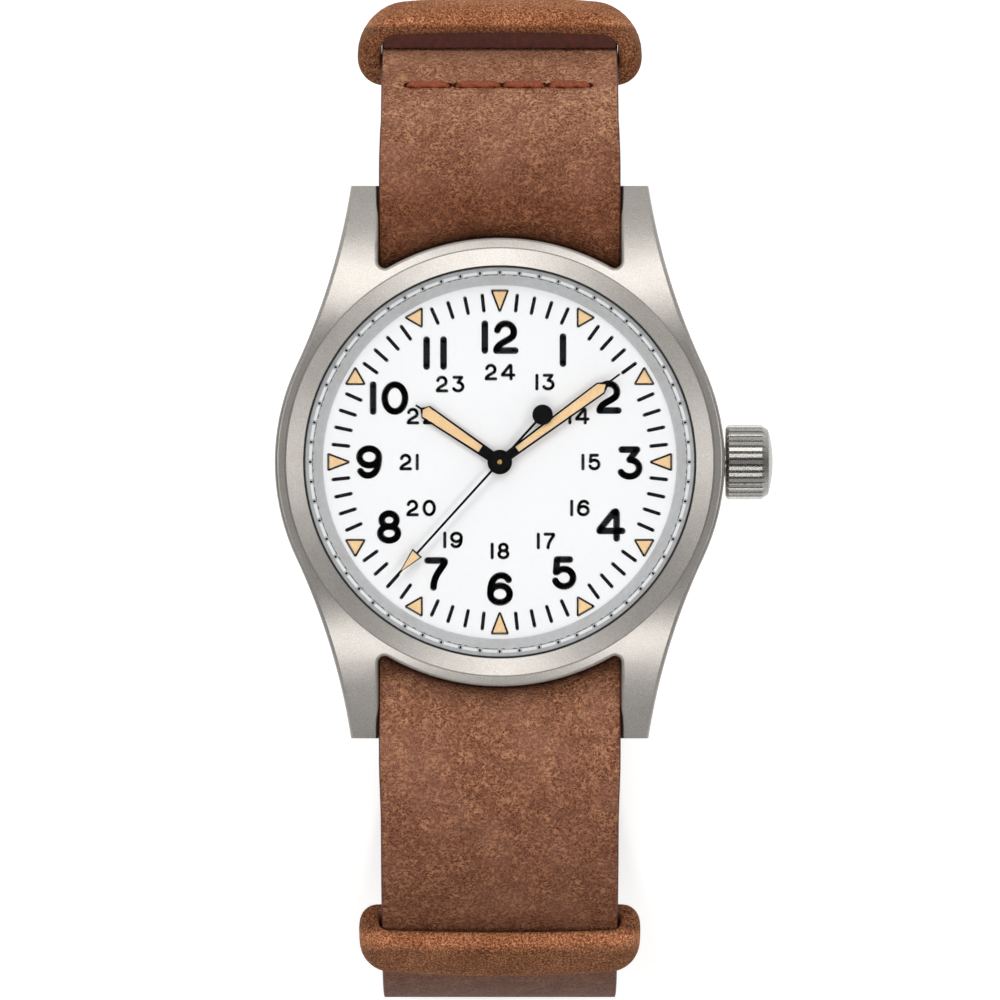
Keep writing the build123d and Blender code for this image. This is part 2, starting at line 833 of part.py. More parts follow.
def build_flange():
    """The sloping ring between the dial's edge and the glass."""
    outer = flange_top_r + flange_lip
    return revolved(
        [
            (flange_dial_r, dial_top),
            (outer, dial_top),
            (outer, bezel_ledge),
            (flange_top_r, bezel_ledge),
            (flange_dial_r, dial_top + flange_lip),
        ]
    )


def build_case_back():
    """The screwed back: a plate with key notches and the collar that screws into the case."""
    plate = revolved(
        [
            (0, 0),
            (back_r - back_fillet, 0),
            (back_r, back_fillet),
            (back_r, back_plate),
            (collar_r, back_plate),
            (collar_r, collar_top),
            (collar_r - collar_wall, collar_top),
            (collar_r - collar_wall, back_plate),
            (0, back_plate),
        ]
    )
    for notch in range(notch_count):
        at = Location(polar(back_r, notch * 360 / notch_count), (0, 0, notch * 360 / notch_count))
        cut = block(-notch_size / 2, over, -notch_size / 2, notch_size / 2, -over, notch_depth)
        plate = plate - cut.moved(at)
    return one(plate)


def build_back_gasket():
    """The seal between the back's plate and the case."""
    return ring(back_gasket_out, back_gasket_in, back_plate, back_gasket_top)


def build_spring_bar(side):
    """A spring bar: a tube with a narrow end in each lug."""
    half = lug_gap / 2
    collar = half - bar_collar
    bar = rod(bar_r, -collar, collar, side * bar_y, bar_z)
    ends = rod(bar_neck, -half - bar_seat + run, half + bar_seat - run, side * bar_y, bar_z)
    return bar + ends


# Dial and hands

def build_dial():
    """The dial plate with its two feet."""
    plate = ring(dial_r, dial_hole, dial_foot, dial_top)
    for bearing in dial_foot_bearings:
        foot_at = polar(dial_foot_place, bearing)
        plate = plate + disc(dial_foot_r, dial_foot - dial_foot_length, dial_foot, foot_at)
    return one(plate)


def turned(shape, clockwise):
    """A hand drawn towards 12 o'clock, turned to where it points."""
    return shape.moved(Location((0, 0, 0), (0, 0, -clockwise)))


def blade(root_width, width, shoulder, tip, start, level):
    """A hand's blade: it widens to its shoulder and runs out through a hollow curve into a needle."""
    half = width / 2
    needle = needle_width / 2
    waist = shoulder + (tip - shoulder) / 2
    side = [
        Edge.make_line((root_width / 2, start, level), (half, shoulder, level)),
        Edge.make_three_point_arc(
            (half, shoulder, level),
            (half / 2, (shoulder + waist) / 2, level),
            (needle, waist, level),
        ),
        Edge.make_line((needle, waist, level), (needle, tip, level)),
    ]
    other = [edge.mirror(Plane.YZ) for edge in side]
    caps = [
        Edge.make_line((-root_width / 2, start, level), (root_width / 2, start, level)),
        Edge.make_line((-needle, tip, level), (needle, tip, level)),
    ]
    return Solid.extrude(Face(Wire(side + other + caps)), Vector(0, 0, hand_thick))


def inlay(root_width, width, shoulder, tip, start, level, clear=0.0):
    """The lume in a hand: the blade's outline drawn in by its black rim."""
    half = width / 2 - lume_rim + clear
    root = root_width / 2 - lume_rim + clear
    point = shoulder + (tip - shoulder) / 4
    outline = [(-root, start - clear), (root, start - clear), (half, shoulder), (0, point + clear)]
    return plan(outline + [(-half, shoulder)], level - clear, level + hand_thick + clear)


def build_hour_hand():
    """The hour hand, with a window for its lume."""
    hand = blade(hour_root_width, hour_width, hour_shoulder, hour_tip, 0, hour_level)
    hand = hand + disc(hub_r, hour_level, hour_level + hand_thick)
    hand = hand - disc(hour_tube_r, hour_level - over, hour_level + over)
    window = inlay(hour_root_width, hour_width, hour_shoulder, hour_tip, hour_lume_start, hour_level, fit)
    return turned(one(hand - window), hour_angle)


def build_hour_lume():
    """The hour hand's lume."""
    lume = inlay(hour_root_width, hour_width, hour_shoulder, hour_tip, hour_lume_start, hour_level)
    return turned(lume, hour_angle)


def build_minute_hand():
    """The minute hand, with a window for its lume."""
    hand = blade(minute_root_width, minute_width, minute_shoulder, minute_tip, 0, minute_level)
    hand = hand + disc(minute_hub_r, minute_level, minute_level + hand_thick)
    hand = hand - disc(cannon_r, minute_level - over, minute_level + over)
    window = inlay(
        minute_root_width, minute_width, minute_shoulder, minute_tip, minute_lume_start, minute_level, fit
    )
    return turned(one(hand - window), minute_angle)


def build_minute_lume():
    """The minute hand's lume."""
    sizes = (minute_root_width, minute_width, minute_shoulder, minute_tip, minute_lume_start)
    lume = inlay(*sizes, minute_level)
    return turned(lume, minute_angle)


def arrow(clear=0.0):
    """The kite on the seconds hand."""
    half = arrow_width / 2 - lume_rim / 2 + clear
    outline = [(0, arrow_end + clear), (half, arrow_start - clear), (-half, arrow_start - clear)]
    return plan(outline, seconds_level - clear, seconds_level + hand_thick + clear)


def build_seconds_hand():
    """The seconds hand: needle, kite frame, counterweight and hub."""
    top = seconds_level + hand_thick
    half = seconds_width / 2
    hand = block(-half, half, -weight_place, seconds_tip, seconds_level, top)
    hand = hand + disc(seconds_hub_r, seconds_level, top)
    hand = hand + disc(weight_r, seconds_level, top, Vector(0, -weight_place, 0))
    wide = arrow_width / 2 + lume_rim / 2
    frame = [(0, arrow_end + 2 * lume_rim), (wide, arrow_start - lume_rim), (-wide, arrow_start - lume_rim)]
    hand = hand + plan(frame, seconds_level, top) - arrow(fit)
    hand = hand - disc(seconds_arbor_r, seconds_level - over, top + over)
    return turned(one(hand), seconds_angle)


def build_seconds_lume():
    """The lume in the seconds hand's kite."""
    return turned(arrow(), seconds_angle)


# Crown and winding work

def build_crown():
    """The fluted crown, hollow to pass over its tube."""
    points = []
    pitch = 360 / crown_flutes
    for flute in range(crown_flutes):
        for radius, part in (
            (crown_r - flute_depth, -1 / 2),
            (crown_r, -ridge_share),
            (crown_r, ridge_share),
        ):
            points.append(polar(radius, (flute + part) * pitch))
    outline = Polyline(*[(0, p.X, p.Y) for p in points], close=True)
    face = make_face(outline).moved(Location((crown_start, 0, crown_z)))
    body = extrude(face, amount=crown_end - crown_start, dir=(1, 0, 0))
    dome_r = ((crown_shoulder_r ** 2) + (crown_end - crown_shoulder_end) ** 2) / (
        2 * (crown_end - crown_shoulder_end)
    )
    half = asin(crown_shoulder_r / dome_r) / 2
    envelope = [
        Edge.make_line((crown_start, 0, 0), (crown_start, crown_r - crown_chamfer, 0)),
        Edge.make_line(
            (crown_start, crown_r - crown_chamfer, 0), (crown_start + crown_chamfer, crown_r + fit, 0)
        ),
        Edge.make_line((crown_start + crown_chamfer, crown_r + fit, 0), (crown_skirt_end, crown_r + fit, 0)),
        Edge.make_line((crown_skirt_end, crown_r + fit, 0), (crown_shoulder_end, crown_shoulder_r, 0)),
        Edge.make_three_point_arc(
            (crown_shoulder_end, crown_shoulder_r, 0),
            (crown_end - dome_r * (1 - cos(half)), dome_r * sin(half), 0),
            (crown_end, 0, 0),
        ),
        Edge.make_line((crown_end, 0, 0), (crown_start, 0, 0)),
    ]
    shape = revolve(Face(Wire(envelope)), axis=Axis.X).moved(Location((0, 0, crown_z)))
    crown = body & shape
    crown = crown - rod(tube_r + crown_gasket_wall + run, crown_start - over, crown_cavity_end)
    return one(crown)


def build_crown_tube():
    """The tube pressed into the case that guides the stem."""
    return rod(tube_r, tube_start, tube_end) - rod(tube_bore, tube_start - over, tube_end + over)


def build_crown_gasket():
    """The seal inside the crown, sliding on the tube."""
    end = crown_gasket_x + crown_gasket_long
    seal = rod(tube_r + crown_gasket_wall, crown_gasket_x, end)
    return seal - rod(tube_r + fit / 2, crown_gasket_x - over, end + over)


def build_stem():
    """The winding stem: thread in the crown, groove for the lever, square for the clutch, pilot."""
    groove_end = stem_groove_x + stem_groove_long / 2
    groove_start = stem_groove_x - stem_groove_long / 2
    stem = rod(stem_r, stem_square_end, groove_start) + rod(stem_groove_r, groove_start, groove_end)
    stem = stem + rod(stem_r, groove_end, crown_cavity_end)
    half = stem_square / 2
    square = block(stem_square_start, stem_square_end, -half, half, crown_z - half, crown_z + half)
    return one(stem + square + rod(stem_pilot_r, stem_end, stem_square_start))


def teeth_ring(tip, root, count, start, end):
    """A toothed ring about the stem's axis."""
    points = []
    pitch = 360 / count
    for tooth in range(count):
        for radius, part in ((root, -1 / 2), (tip, -1 / 4), (tip, 1 / 4), (root, 1 / 2)):
            points.append(polar(radius, (tooth + part) * pitch))
    points = [p for i, p in enumerate(points) if (p - points[i - 1]).length > fit / 2]
    outline = Polyline(*[(0, p.X, p.Y) for p in points], close=True)
    face = make_face(outline).moved(Location((start, 0, crown_z)))
    return extrude(face, amount=end - start, dir=(1, 0, 0))


def build_winding_pinion():
    """The winding pinion, loose on the stem."""
    end = pinion_x + pinion_long
    root = pinion_tip_r - crown_tooth_share * winding_module
    wheel = teeth_ring(pinion_tip_r, root, winding_pinion_teeth, pinion_x, end)
    return one(wheel - rod(pinion_bore, pinion_x - over, end + over))


def build_clutch():
    """The sliding clutch on the stem's square, with the yoke's groove."""
    end = clutch_x + clutch_long
    groove_end = clutch_groove_x + clutch_groove_long
    clutch = rod(clutch_r, clutch_x, clutch_groove_x) + rod(clutch_groove_r, clutch_groove_x, groove_end)
    clutch = clutch + rod(clutch_r, groove_end, end - run)
    half = stem_square / 2 + run
    return one(clutch - block(clutch_x - over, end + over, -half, half, crown_z - half, crown_z + half))


def build_crown_wheel():
    """The crown wheel, between the winding pinion and the ratchet wheel."""
    foot = ratchet_foot
    wheel = toothed(
        winding_module, crown_wheel_teeth, crown_wheel_phase, foot, foot + ratchet_thick, crown_wheel_at
    )
    return one(wheel - disc(post_r * 2 + run, foot - over, foot + over, crown_wheel_at))


def build_ratchet_wheel():
    """The ratchet wheel on the barrel arbor's square."""
    foot = ratchet_foot
    wheel = toothed(winding_module, ratchet_teeth, 0, foot, foot + ratchet_thick, barrel_at)
    return one(wheel - disc(barrel_arbor_r, foot - over, foot + over, barrel_at))


def click_nose():
    """Where the click meets the ratchet wheel, and how far that is from the barrel's centre."""
    reach = winding_module * (ratchet_teeth / 2 + tip_share) + run
    line = click_at - barrel_at
    return barrel_at + polar(reach, degrees(atan2(line.Y, line.X)) + click_lead), reach


def build_click():
    """The click that holds the ratchet wheel."""
    nose, reach = click_nose()
    top = ratchet_foot + ratchet_thick
    pawl = slab(click_at, nose, arm_width, ratchet_foot, top)
    pawl = pawl + disc(arm_width, ratchet_foot, top, click_at)
    pawl = pawl - disc(reach, ratchet_foot - over, top + over, barrel_at)
    return one(pawl - disc(post_r + run, ratchet_foot - over, top + over, click_at))


def build_setting_lever():
    """The setting lever: it turns on its post and its pin rides in the stem's groove."""
    top = lever_level + lever_thick
    pin_at = Vector(stem_groove_x, 0, 0)
    lever = slab(lever_at, pin_at, arm_width, lever_level, top)
    lever = lever + disc(arm_width, lever_level, top, lever_at)
    lever = lever + disc(lever_pin_r, crown_z + stem_groove_r + run, lever_level, pin_at)
    return one(lever - disc(post_r + run, lever_level - over, top + over, lever_at))


def build_yoke():
    """The yoke: it turns on its post and its finger rides in the clutch's groove."""
    top = yoke_level + lever_thick
    finger_at = Vector(clutch_groove_x + clutch_groove_long / 2, 0, 0)
    neck_at = finger_at + (yoke_at - finger_at) * yoke_neck_share
    yoke = slab(yoke_at, neck_at, arm_width, yoke_level, top)
    yoke = yoke + slab(finger_at, neck_at, clutch_groove_long / 2, yoke_level, top)
    yoke = yoke + disc(arm_width, yoke_level, top, yoke_at)
    yoke = yoke - disc(post_r + run, yoke_level - over, top + over, yoke_at)
    shoulders = rod(clutch_r + run, clutch_groove_x - 2 * over, clutch_groove_x)
    shoulders = shoulders + rod(clutch_r + run, clutch_groove_x + clutch_groove_long, clutch_x + clutch_long)
    return one(yoke - shoulders)


# Movement plates

def bridge_screws_at():
    """Where the bridge screws stand."""
    return [polar(screw_place, bearing) for bearing in screw_bearings]


def build_screws():
    """The screws that hold the bridges and the cock."""
    screws = []
    for at in bridge_screws_at():
        head = disc(screw_r, bridge_foot, bridge_foot + screw_head, at)
        slot = block(-over, over, -screw_slot / 2, screw_slot / 2, 0, bridge_foot + screw_slot / 2)
        head = head - slot.moved(Location(at, (0, 0, slot_turn * at.X / screw_place)))
        shank = disc(screw_shank, bridge_foot + screw_head, bridge_foot + screw_long, at)
        screws.append(one(head + shank))
    return Compound(screws)


def screw_holes():
    """The counterbored holes for the bridge screws."""
    holes = [disc(screw_r + fit, 0, bridge_foot + screw_head, at) for at in bridge_screws_at()]
    shank_top = bridge_foot + screw_long + run
    return holes + [disc(screw_shank + fit, 0, shank_top, at) for at in bridge_screws_at()]


def jewel_places():
    """Each jewel as its centre, its foot and the radius of its hole."""
    upper = plate_foot + jewel_thick
    hole = pivot_r + fit
    return [
        (third_at, bridge_foot, hole),
        (escape_at, bridge_foot, hole),
        (centre, bridge_foot, seconds_arbor_r + fit),
        (balance_at, bridge_foot, hole),
        (pallet_at, pallet_bridge_foot, hole),
        (third_at, plate_foot, hole),
        (escape_at, plate_foot, hole),
        (pallet_at, plate_foot, hole),
        (balance_at, upper, hole),
    ]


def build_jewels():
    """The ruby bearings."""
    return Compound([ring(jewel_r, hole, foot, foot + jewel_thick, at) for at, foot, hole in jewel_places()])


def less_jewels(shape, foot_limit, top_limit):
    """A plate with seats for the jewels that lie in it."""
    for at, foot, hole in jewel_places():
        if foot_limit - fit <= foot <= top_limit:
            shape = shape - disc(jewel_r + fit, foot - fit, foot + jewel_thick + fit, at)
            shape = shape - disc(jewel_r - jewel_seat, foot - 2 * jewel_thick, foot + 3 * jewel_thick, at)
    return shape


def lever_room():
    """The space that the setting lever sweeps as the crown is pulled."""
    middle = Vector(stem_groove_x + crown_pull / 2, 0, 0)
    return slab(lever_at, middle, lever_sweep, lever_level - run, dial_foot + over)


def build_main_plate():
    """The main plate: rim, pockets for barrel and balance, and the recess for the motion work."""
    plate = disc(movement_r, bridge_top, dial_foot)
    plate = plate - disc(plate_rim_in, bridge_top - over, plate_foot)
    plate = plate - disc(barrel_distance - run, bridge_top - over, plate_floor, barrel_at)
    plate = plate - disc(balance_r + 2 * rim_wall, bridge_top - over, plate_foot, balance_at)
    plate = plate - disc(4 * jewel_r, bridge_top - over, plate_foot + jewel_thick * 2, centre)
    plate = plate - disc(motion_recess_r, motion_floor, dial_foot + over)
    plate = plate - disc(centre_arbor_r + run, 0, dial_foot + over)
    setting_pocket = motion_module * (setting_teeth / 2 + pocket_share)
    plate = plate - disc(setting_pocket, motion_floor, dial_foot + over, setting_at)
    wide = pinion_tip_r + 4 * run
    plate = plate - block(pinion_x - run, pinion_x + pinion_long + run, -wide, wide, 0, dial_foot + over)
    narrow = clutch_r + 2 * run
    start = clutch_x - clutch_travel - run
    plate = plate - block(start, pinion_x, -narrow, narrow, 0, dial_foot + over)
    plate = plate - rod(stem_r + run, pinion_x, movement_r + over)
    plate = plate - rod(stem_pilot_r + run, stem_end - run, clutch_x)
    plate = plate - lever_room()
    plate = plate - slab(
        Vector(stem_groove_x, 0, 0),
        Vector(stem_groove_x + crown_pull, crown_pull / 2, 0),
        4 * lever_pin_r,
        crown_z,
        dial_foot + over,
    )
    yoke_end = Vector(clutch_groove_x - clutch_travel / 2, 0, 0)
    plate = plate - slab(yoke_at, yoke_end, 4 * arm_width, yoke_level - run, dial_foot + over)
    for at in (lever_at, yoke_at):
        plate = plate + disc(post_r, plate_floor, dial_foot - run, at)
    plate = plate + disc(post_r - run, motion_floor - run, dial_foot - 2 * run, minute_post_at)
    plate = plate + disc(post_r - run, motion_floor - run, dial_foot - 2 * run, setting_at)
    for bearing in dial_foot_bearings:
        foot_at = polar(dial_foot_place, bearing)
        plate = plate - disc(dial_foot_r + fit, dial_foot - dial_foot_length - fit, dial_foot, foot_at)
    plate = less_jewels(plate, plate_foot, dial_foot)
    for hole in screw_holes():
        plate = plate - hole
    return one(plate)


def build_holder():
    """The ring that centres the movement in the case."""
    holder = ring(holder_r, movement_r + fit, holder_foot, dial_foot) - lever_room()
    return one(holder - rod(stem_r + 4 * run, movement_r - over, holder_r + over))


def half_plane(bearing, start):
    """A large block that lies beyond a line across the movement."""
    size = 2 * movement_r
    big = block(start, size, -size, size, 0, dial_top)
    return big.moved(Location((0, 0, 0), (0, 0, bearing)))


def balance_room():
    """The space that the bridges leave for the balance."""
    return disc(balance_r + rim_wall, 0, plate_foot, balance_at)


def build_barrel_bridge():
    """The bridge over the barrel, recessed for the ratchet and crown wheels."""
    bridge = disc(movement_r, bridge_foot, bridge_top) & half_plane(split_bearing, bridge_split + bridge_seam)
    bridge = bridge - balance_room()
    bridge = bridge - cock_heel(bridge_seam)
    bridge = bridge - disc(jewel_r + rim_wall, 0, plate_foot, centre)
    sink = ratchet_foot + ratchet_thick + run
    for at, teeth in ((barrel_at, ratchet_teeth), (crown_wheel_at, crown_wheel_teeth)):
        wheel_r = winding_module * (teeth / 2 + tip_share) + 2 * run
        bridge = bridge - disc(wheel_r, 0, sink, at)
    bridge = bridge - slab(click_at, click_nose()[0], 3 * arm_width, 0, sink)
    bridge = bridge - disc(barrel_arbor_r - 2 * run, 0, plate_foot, barrel_at)
    bridge = bridge + disc(post_r * 2, bridge_foot, bridge_top, crown_wheel_at)
    bridge = bridge + disc(post_r, bridge_foot, bridge_top, click_at)
    start = pinion_x - run
    end = pinion_x + pinion_long + run
    bridge = bridge - block(start, end, -pinion_tip_r, pinion_tip_r, sink - over, plate_foot)
    for hole in screw_holes():
        bridge = bridge - hole
    return one(bridge)


def build_train_bridge():
    """The bridge over the centre, third, fourth and escape wheels."""
    whole = disc(movement_r, bridge_foot, bridge_top) - half_plane(split_bearing, bridge_split)
    cock_side = half_plane(balance_bearing, balance_place * cock_share)
    bridge = whole - balance_room() - cock_side
    bridge = bridge + (disc(jewel_r + rim_wall - run, bridge_foot, bridge_top, centre))
    bridge = less_jewels(bridge, bridge_foot, bridge_top)
    for hole in screw_holes():
        bridge = bridge - hole
    return max(bridge.solids(), key=lambda solid: solid.volume)


def cock_heel(grow):
    """The ground plan of the cock's heel."""
    return disc(heel_r + grow, 0, plate_foot, polar(movement_r, heel_bearing))


def build_balance_cock():
    """The cock that carries the balance's outer jewel."""
    foot_at = polar(movement_r, balance_bearing)
    arm = slab(balance_at, foot_at, 4 * jewel_r, bridge_foot, cock_top)
    heel = ring(movement_r, plate_rim_in + run, bridge_foot, bridge_top) & cock_heel(0)
    cock = (arm + heel) & disc(movement_r, 0, plate_foot)
    cock = less_jewels(cock, bridge_foot, bridge_foot)
    for hole in screw_holes():
        cock = cock - hole
    return max(cock.solids(), key=lambda solid: solid.volume)


def build_pallet_bridge():
    """The small bridge over the pallet fork, which stands on two feet on the main plate."""
    across = polar(pallet_foot_place, pallet_bearing + 90)
    wide = 2 * jewel_r + rim_wall
    bridge = slab(pallet_at - across, pallet_at + across, wide, pallet_bridge_foot, pallet_bridge_top)
    for side in (1, -1):
        bridge = bridge + disc(jewel_r, pallet_bridge_foot, plate_foot, pallet_at + across * side)
    return one(less_jewels(bridge, pallet_bridge_foot, pallet_bridge_foot))


# Going train

def build_barrel():
    """The barrel: a toothed drum that holds the mainspring."""
    flange_top = barrel_foot + barrel_flange
    flange = toothed(barrel_module, barrel_teeth, barrel_phase, barrel_foot, flange_top, barrel_at)
    drum_r = barrel_module * (barrel_teeth / 2 - root_share) - run
    drum = disc(drum_r, barrel_foot, barrel_top - barrel_floor, barrel_at)
    hollow = disc(drum_r - barrel_wall, barrel_foot + barrel_floor, barrel_top, barrel_at)
    return one(flange + drum - hollow - disc(barrel_arbor_r - 3 * run, 0, barrel_top, barrel_at))


def build_barrel_cover():
    """The lid of the barrel."""
    drum_r = barrel_module * (barrel_teeth / 2 - root_share) - run
    return ring(drum_r, barrel_arbor_r - 3 * run, barrel_top - barrel_floor, barrel_top, barrel_at)


def build_barrel_arbor():
    """The barrel's arbor, which carries the ratchet wheel."""
    shaft_r = barrel_arbor_r - 4 * run
    shaft = disc(shaft_r, bridge_foot, plate_floor, barrel_at)
    boss_foot = barrel_foot + barrel_floor + run
    boss = disc(barrel_arbor_r + 2 * run, boss_foot, barrel_top - barrel_floor - run, barrel_at)
    seat = disc(barrel_arbor_r - fit, bridge_foot, ratchet_foot + ratchet_thick, barrel_at)
    return one(shaft + boss + seat)


def half_ring(centre_at, mean_r, wall, foot, top, bearing):
    """Half a turn of ribbon."""
    turn = ring(mean_r + wall / 2, mean_r - wall / 2, foot, top, centre_at)
    size = 4 * mean_r + over
    half = block(-size, size, 0, size, foot - over, top + over)
    return turn & half.moved(Location(centre_at, (0, 0, bearing)))


def spiral(centre_at, inner_r, outer_r, turns, wall, foot, top):
    """A flat spiral ribbon of half turns, whose centre steps from side to side."""
    halves = 2 * turns
    step = (outer_r - inner_r) / halves
    solid = None
    for half in range(halves):
        side = 1 if half % 2 == 0 else -1
        radius = inner_r + step * (half + 1 / 2)
        at = centre_at + Vector(-side * step / 2, 0, 0)
        piece = half_ring(at, radius, wall, foot, top, 0 if side == 1 else 180)
        solid = piece if solid is None else solid + piece
    return one(solid)


def build_mainspring():
    """The mainspring: a flat ribbon wound from the arbor's boss to the barrel's wall."""
    drum_r = barrel_module * (barrel_teeth / 2 - root_share) - run - barrel_wall
    inner = barrel_arbor_r + 2 * run + ribbon
    foot = barrel_foot + barrel_floor + run
    top = barrel_top - barrel_floor - run
    return spiral(barrel_at, inner, drum_r - ribbon, ribbon_turns, ribbon, foot, top)


def build_centre_wheel():
    """The centre wheel with its hollow pinion, which the barrel drives."""
    foot = centre_level
    wheel = toothed(tooth_module, centre_teeth, 0, foot, foot + wheel_thick, centre)
    top = foot + wheel_thick
    pinion_top = barrel_foot + 4 * barrel_floor
    hub = 2 * centre_arbor_r
    wheel = wheel - spokes_cut(tooth_module, centre_teeth, centre, foot, top, hub, centre_spoke_bearing)
    pinion = toothed(barrel_module, centre_pinion_teeth, 0, top, pinion_top, centre, True)
    tube = disc(centre_arbor_r, foot, minute_level - run)
    return one(wheel + pinion + tube - disc(seconds_arbor_r + run, 0, minute_level + over))


def build_third_wheel():
    """The third wheel and its pinion."""
    foot = third_level
    wheel = toothed(third_module, third_teeth, 0, foot, foot + wheel_thick, third_at)
    top = foot + wheel_thick
    hub = 3 * arbor_r
    wheel = wheel - spokes_cut(third_module, third_teeth, third_at, foot, top, hub, third_spoke_bearing)
    pinion_foot = centre_level - run
    pinion_top = pinion_foot + pinion_thick
    leaves = (tooth_module, third_pinion_teeth, third_pinion_phase)
    pinion = toothed(*leaves, pinion_foot, pinion_top, third_at, True)
    shaft = arbor(third_at, bridge_top + run, plate_foot - run, bridge_foot + run, plate_foot + jewel_thick)
    return one(wheel + pinion + shaft)


def build_fourth_wheel():
    """The fourth wheel and pinion on the long arbor that carries the seconds hand."""
    foot = fourth_level
    wheel = toothed(escape_module, fourth_teeth, 0, foot, foot + wheel_thick, centre)
    top = foot + wheel_thick
    hub = 3 * seconds_arbor_r
    wheel = wheel - spokes_cut(escape_module, fourth_teeth, centre, foot, top, hub, fourth_spoke_bearing)
    pinion_foot = third_level - run
    pinion_top = pinion_foot + pinion_thick
    leaves = (third_module, fourth_pinion_teeth, fourth_pinion_phase)
    pinion = toothed(*leaves, pinion_foot, pinion_top, centre, True)
    shaft = disc(seconds_arbor_r, bridge_foot + run, seconds_level + hand_thick)
    link = disc(2 * seconds_arbor_r, foot, pinion_foot)
    return one(wheel + pinion + shaft + link)


def build_escape_wheel():
    """The escape wheel, with hooked teeth, and its pinion."""
    foot = escape_level
    pitch = 360 / escape_teeth
    root = escape_r * hook_shares[0][0]
    points = []
    for tooth in range(escape_teeth):
        tip = escape_bearing + tooth * pitch
        for reach, part in hook_shares:
            points.append(escape_at + polar(escape_r * reach, tip + part * pitch))
    wheel = plan([(p.X, p.Y) for p in points], foot, foot + wheel_thick)
    hub = 3 * arbor_r
    hole = ring(root - rim_wall, hub, foot - over, foot + over, escape_at)
    for spoke in range(escape_spokes):
        end = escape_at + polar(root, spoke * 360 / escape_spokes)
        hole = hole - slab(escape_at, end, spoke_width, foot - 2 * over, foot + 2 * over)
    pinion_foot = fourth_level - run
    pinion_top = pinion_foot + pinion_thick
    leaves = (escape_module, escape_pinion_teeth, escape_pinion_phase)
    pinion = toothed(*leaves, pinion_foot, pinion_top, escape_at, True)
    shaft = arbor(escape_at, bridge_top + run, plate_foot - run, bridge_foot + run, plate_foot + jewel_thick)
    return one(wheel - hole + pinion + shaft)


def stones_at():
    """Where the two pallet stones meet the escape wheel."""
    return [escape_at + polar(escape_r, pallet_bearing + side * pallet_angle) for side in (1, -1)]


def stone(at, bearing, grow=0.0):
    """One pallet stone, which stands out from the escape wheel along its bearing."""
    half = stone_wide / 2 + grow
    body = block(run - grow, run + stone_long + grow, -half, half, escape_level, escape_level + wheel_thick)
    return body.moved(Location(at, (0, 0, bearing)))


def build_pallet_fork():
    """The pallet fork: two arms, a lever with a notch, and its arbor."""
    foot = escape_level
    top = foot + wheel_thick
    fork_end = pallet_at + polar((balance_at - pallet_at).length - impulse_place, pallet_bearing)
    fork = slab(pallet_at, fork_end, fork_width, foot, top)
    for at, side in zip(stones_at(), (1, -1)):
        seat = at + polar(stone_long * pad_share, pallet_bearing + side * pallet_angle)
        fork = fork + slab(pallet_at, seat, fork_width, foot, top) + disc(fork_pad_r, foot, top, seat)
    for at, side in zip(stones_at(), (1, -1)):
        fork = fork - stone(at, pallet_bearing + side * pallet_angle, fit / 2)
    notch = disc(fork_notch / 2, foot - over, top + over, fork_end)
    reach = fork_end + polar(fork_width, pallet_bearing)
    notch = notch + slab(fork_end, reach, fork_notch, foot - over, top + over)
    fork = fork - notch - disc(escape_r + run, foot - over, top + over, escape_at)
    shaft_foot = pallet_bridge_top + run
    shaft = arbor(pallet_at, shaft_foot, plate_foot - run, pallet_bridge_foot, plate_foot + jewel_thick)
    return one(fork + shaft)


def build_pallet_stones():
    """The two ruby pallet stones."""
    return Compound(
        [stone(at, pallet_bearing + side * pallet_angle) for at, side in zip(stones_at(), (1, -1))]
    )


def build_balance():
    """The balance wheel with its staff, roller and impulse pin."""
    top = balance_foot + balance_thick
    wheel = ring(balance_r, balance_r - balance_rim, balance_foot, top, balance_at)
    arm_top = balance_foot + wheel_thick
    for bearing in balance_arm_bearings:
        half = polar(balance_r - balance_rim / 2, bearing + pallet_bearing)
        wheel = wheel + slab(balance_at - half, balance_at + half, balance_arm, balance_foot, arm_top)
    staff = disc(2 * arbor_r, coil_level, plate_foot + jewel_thick, balance_at)
    staff = staff + disc(pivot_r, bridge_foot + run, plate_foot + 2 * jewel_thick, balance_at)
    roller_foot = escape_level - wheel_thick - run
    roller = disc(roller_r, roller_foot, escape_level - run, balance_at)
    pin_at = balance_at + polar(impulse_place, pallet_bearing + 180)
    pin = disc(impulse_r, roller_foot, escape_level + wheel_thick, pin_at)
    return one(wheel + staff + roller + pin)


def build_hairspring():
    """The hairspring, from its collet on the staff to its stud."""
    inner = 2 * arbor_r + fit + coil_wire
    collet = ring(inner, 2 * arbor_r + fit, coil_level, coil_level + coil_wire * 2, balance_at)
    coil = spiral(balance_at, inner, coil_r, coil_turns, coil_wire, coil_level, coil_level + 2 * coil_wire)
    return one(collet + coil)


# Motion work

def build_cannon_pinion():
    """The cannon pinion: it carries the minute hand and drives the minute wheel."""
    pinion = toothed(motion_module, cannon_teeth, 0, cannon_level, cannon_level + cannon_high, centre, True)
    tube = disc(cannon_r, cannon_level, minute_level + hand_thick)
    return one(pinion + tube - disc(centre_arbor_r + fit, 0, minute_level + over))


def build_minute_wheel():
    """The minute wheel and its pinion."""
    foot = minute_wheel_level
    wheel_top = foot + wheel_thick
    wheel = toothed(motion_module, minute_wheel_teeth, minute_wheel_phase, foot, wheel_top, minute_post_at)
    top = dial_foot - 3 * run
    pinion = toothed(minute_pinion_module, minute_pinion_teeth, 0, wheel_top, top, minute_post_at, True)
    return one(wheel + pinion - disc(post_r, 0, dial_foot, minute_post_at))


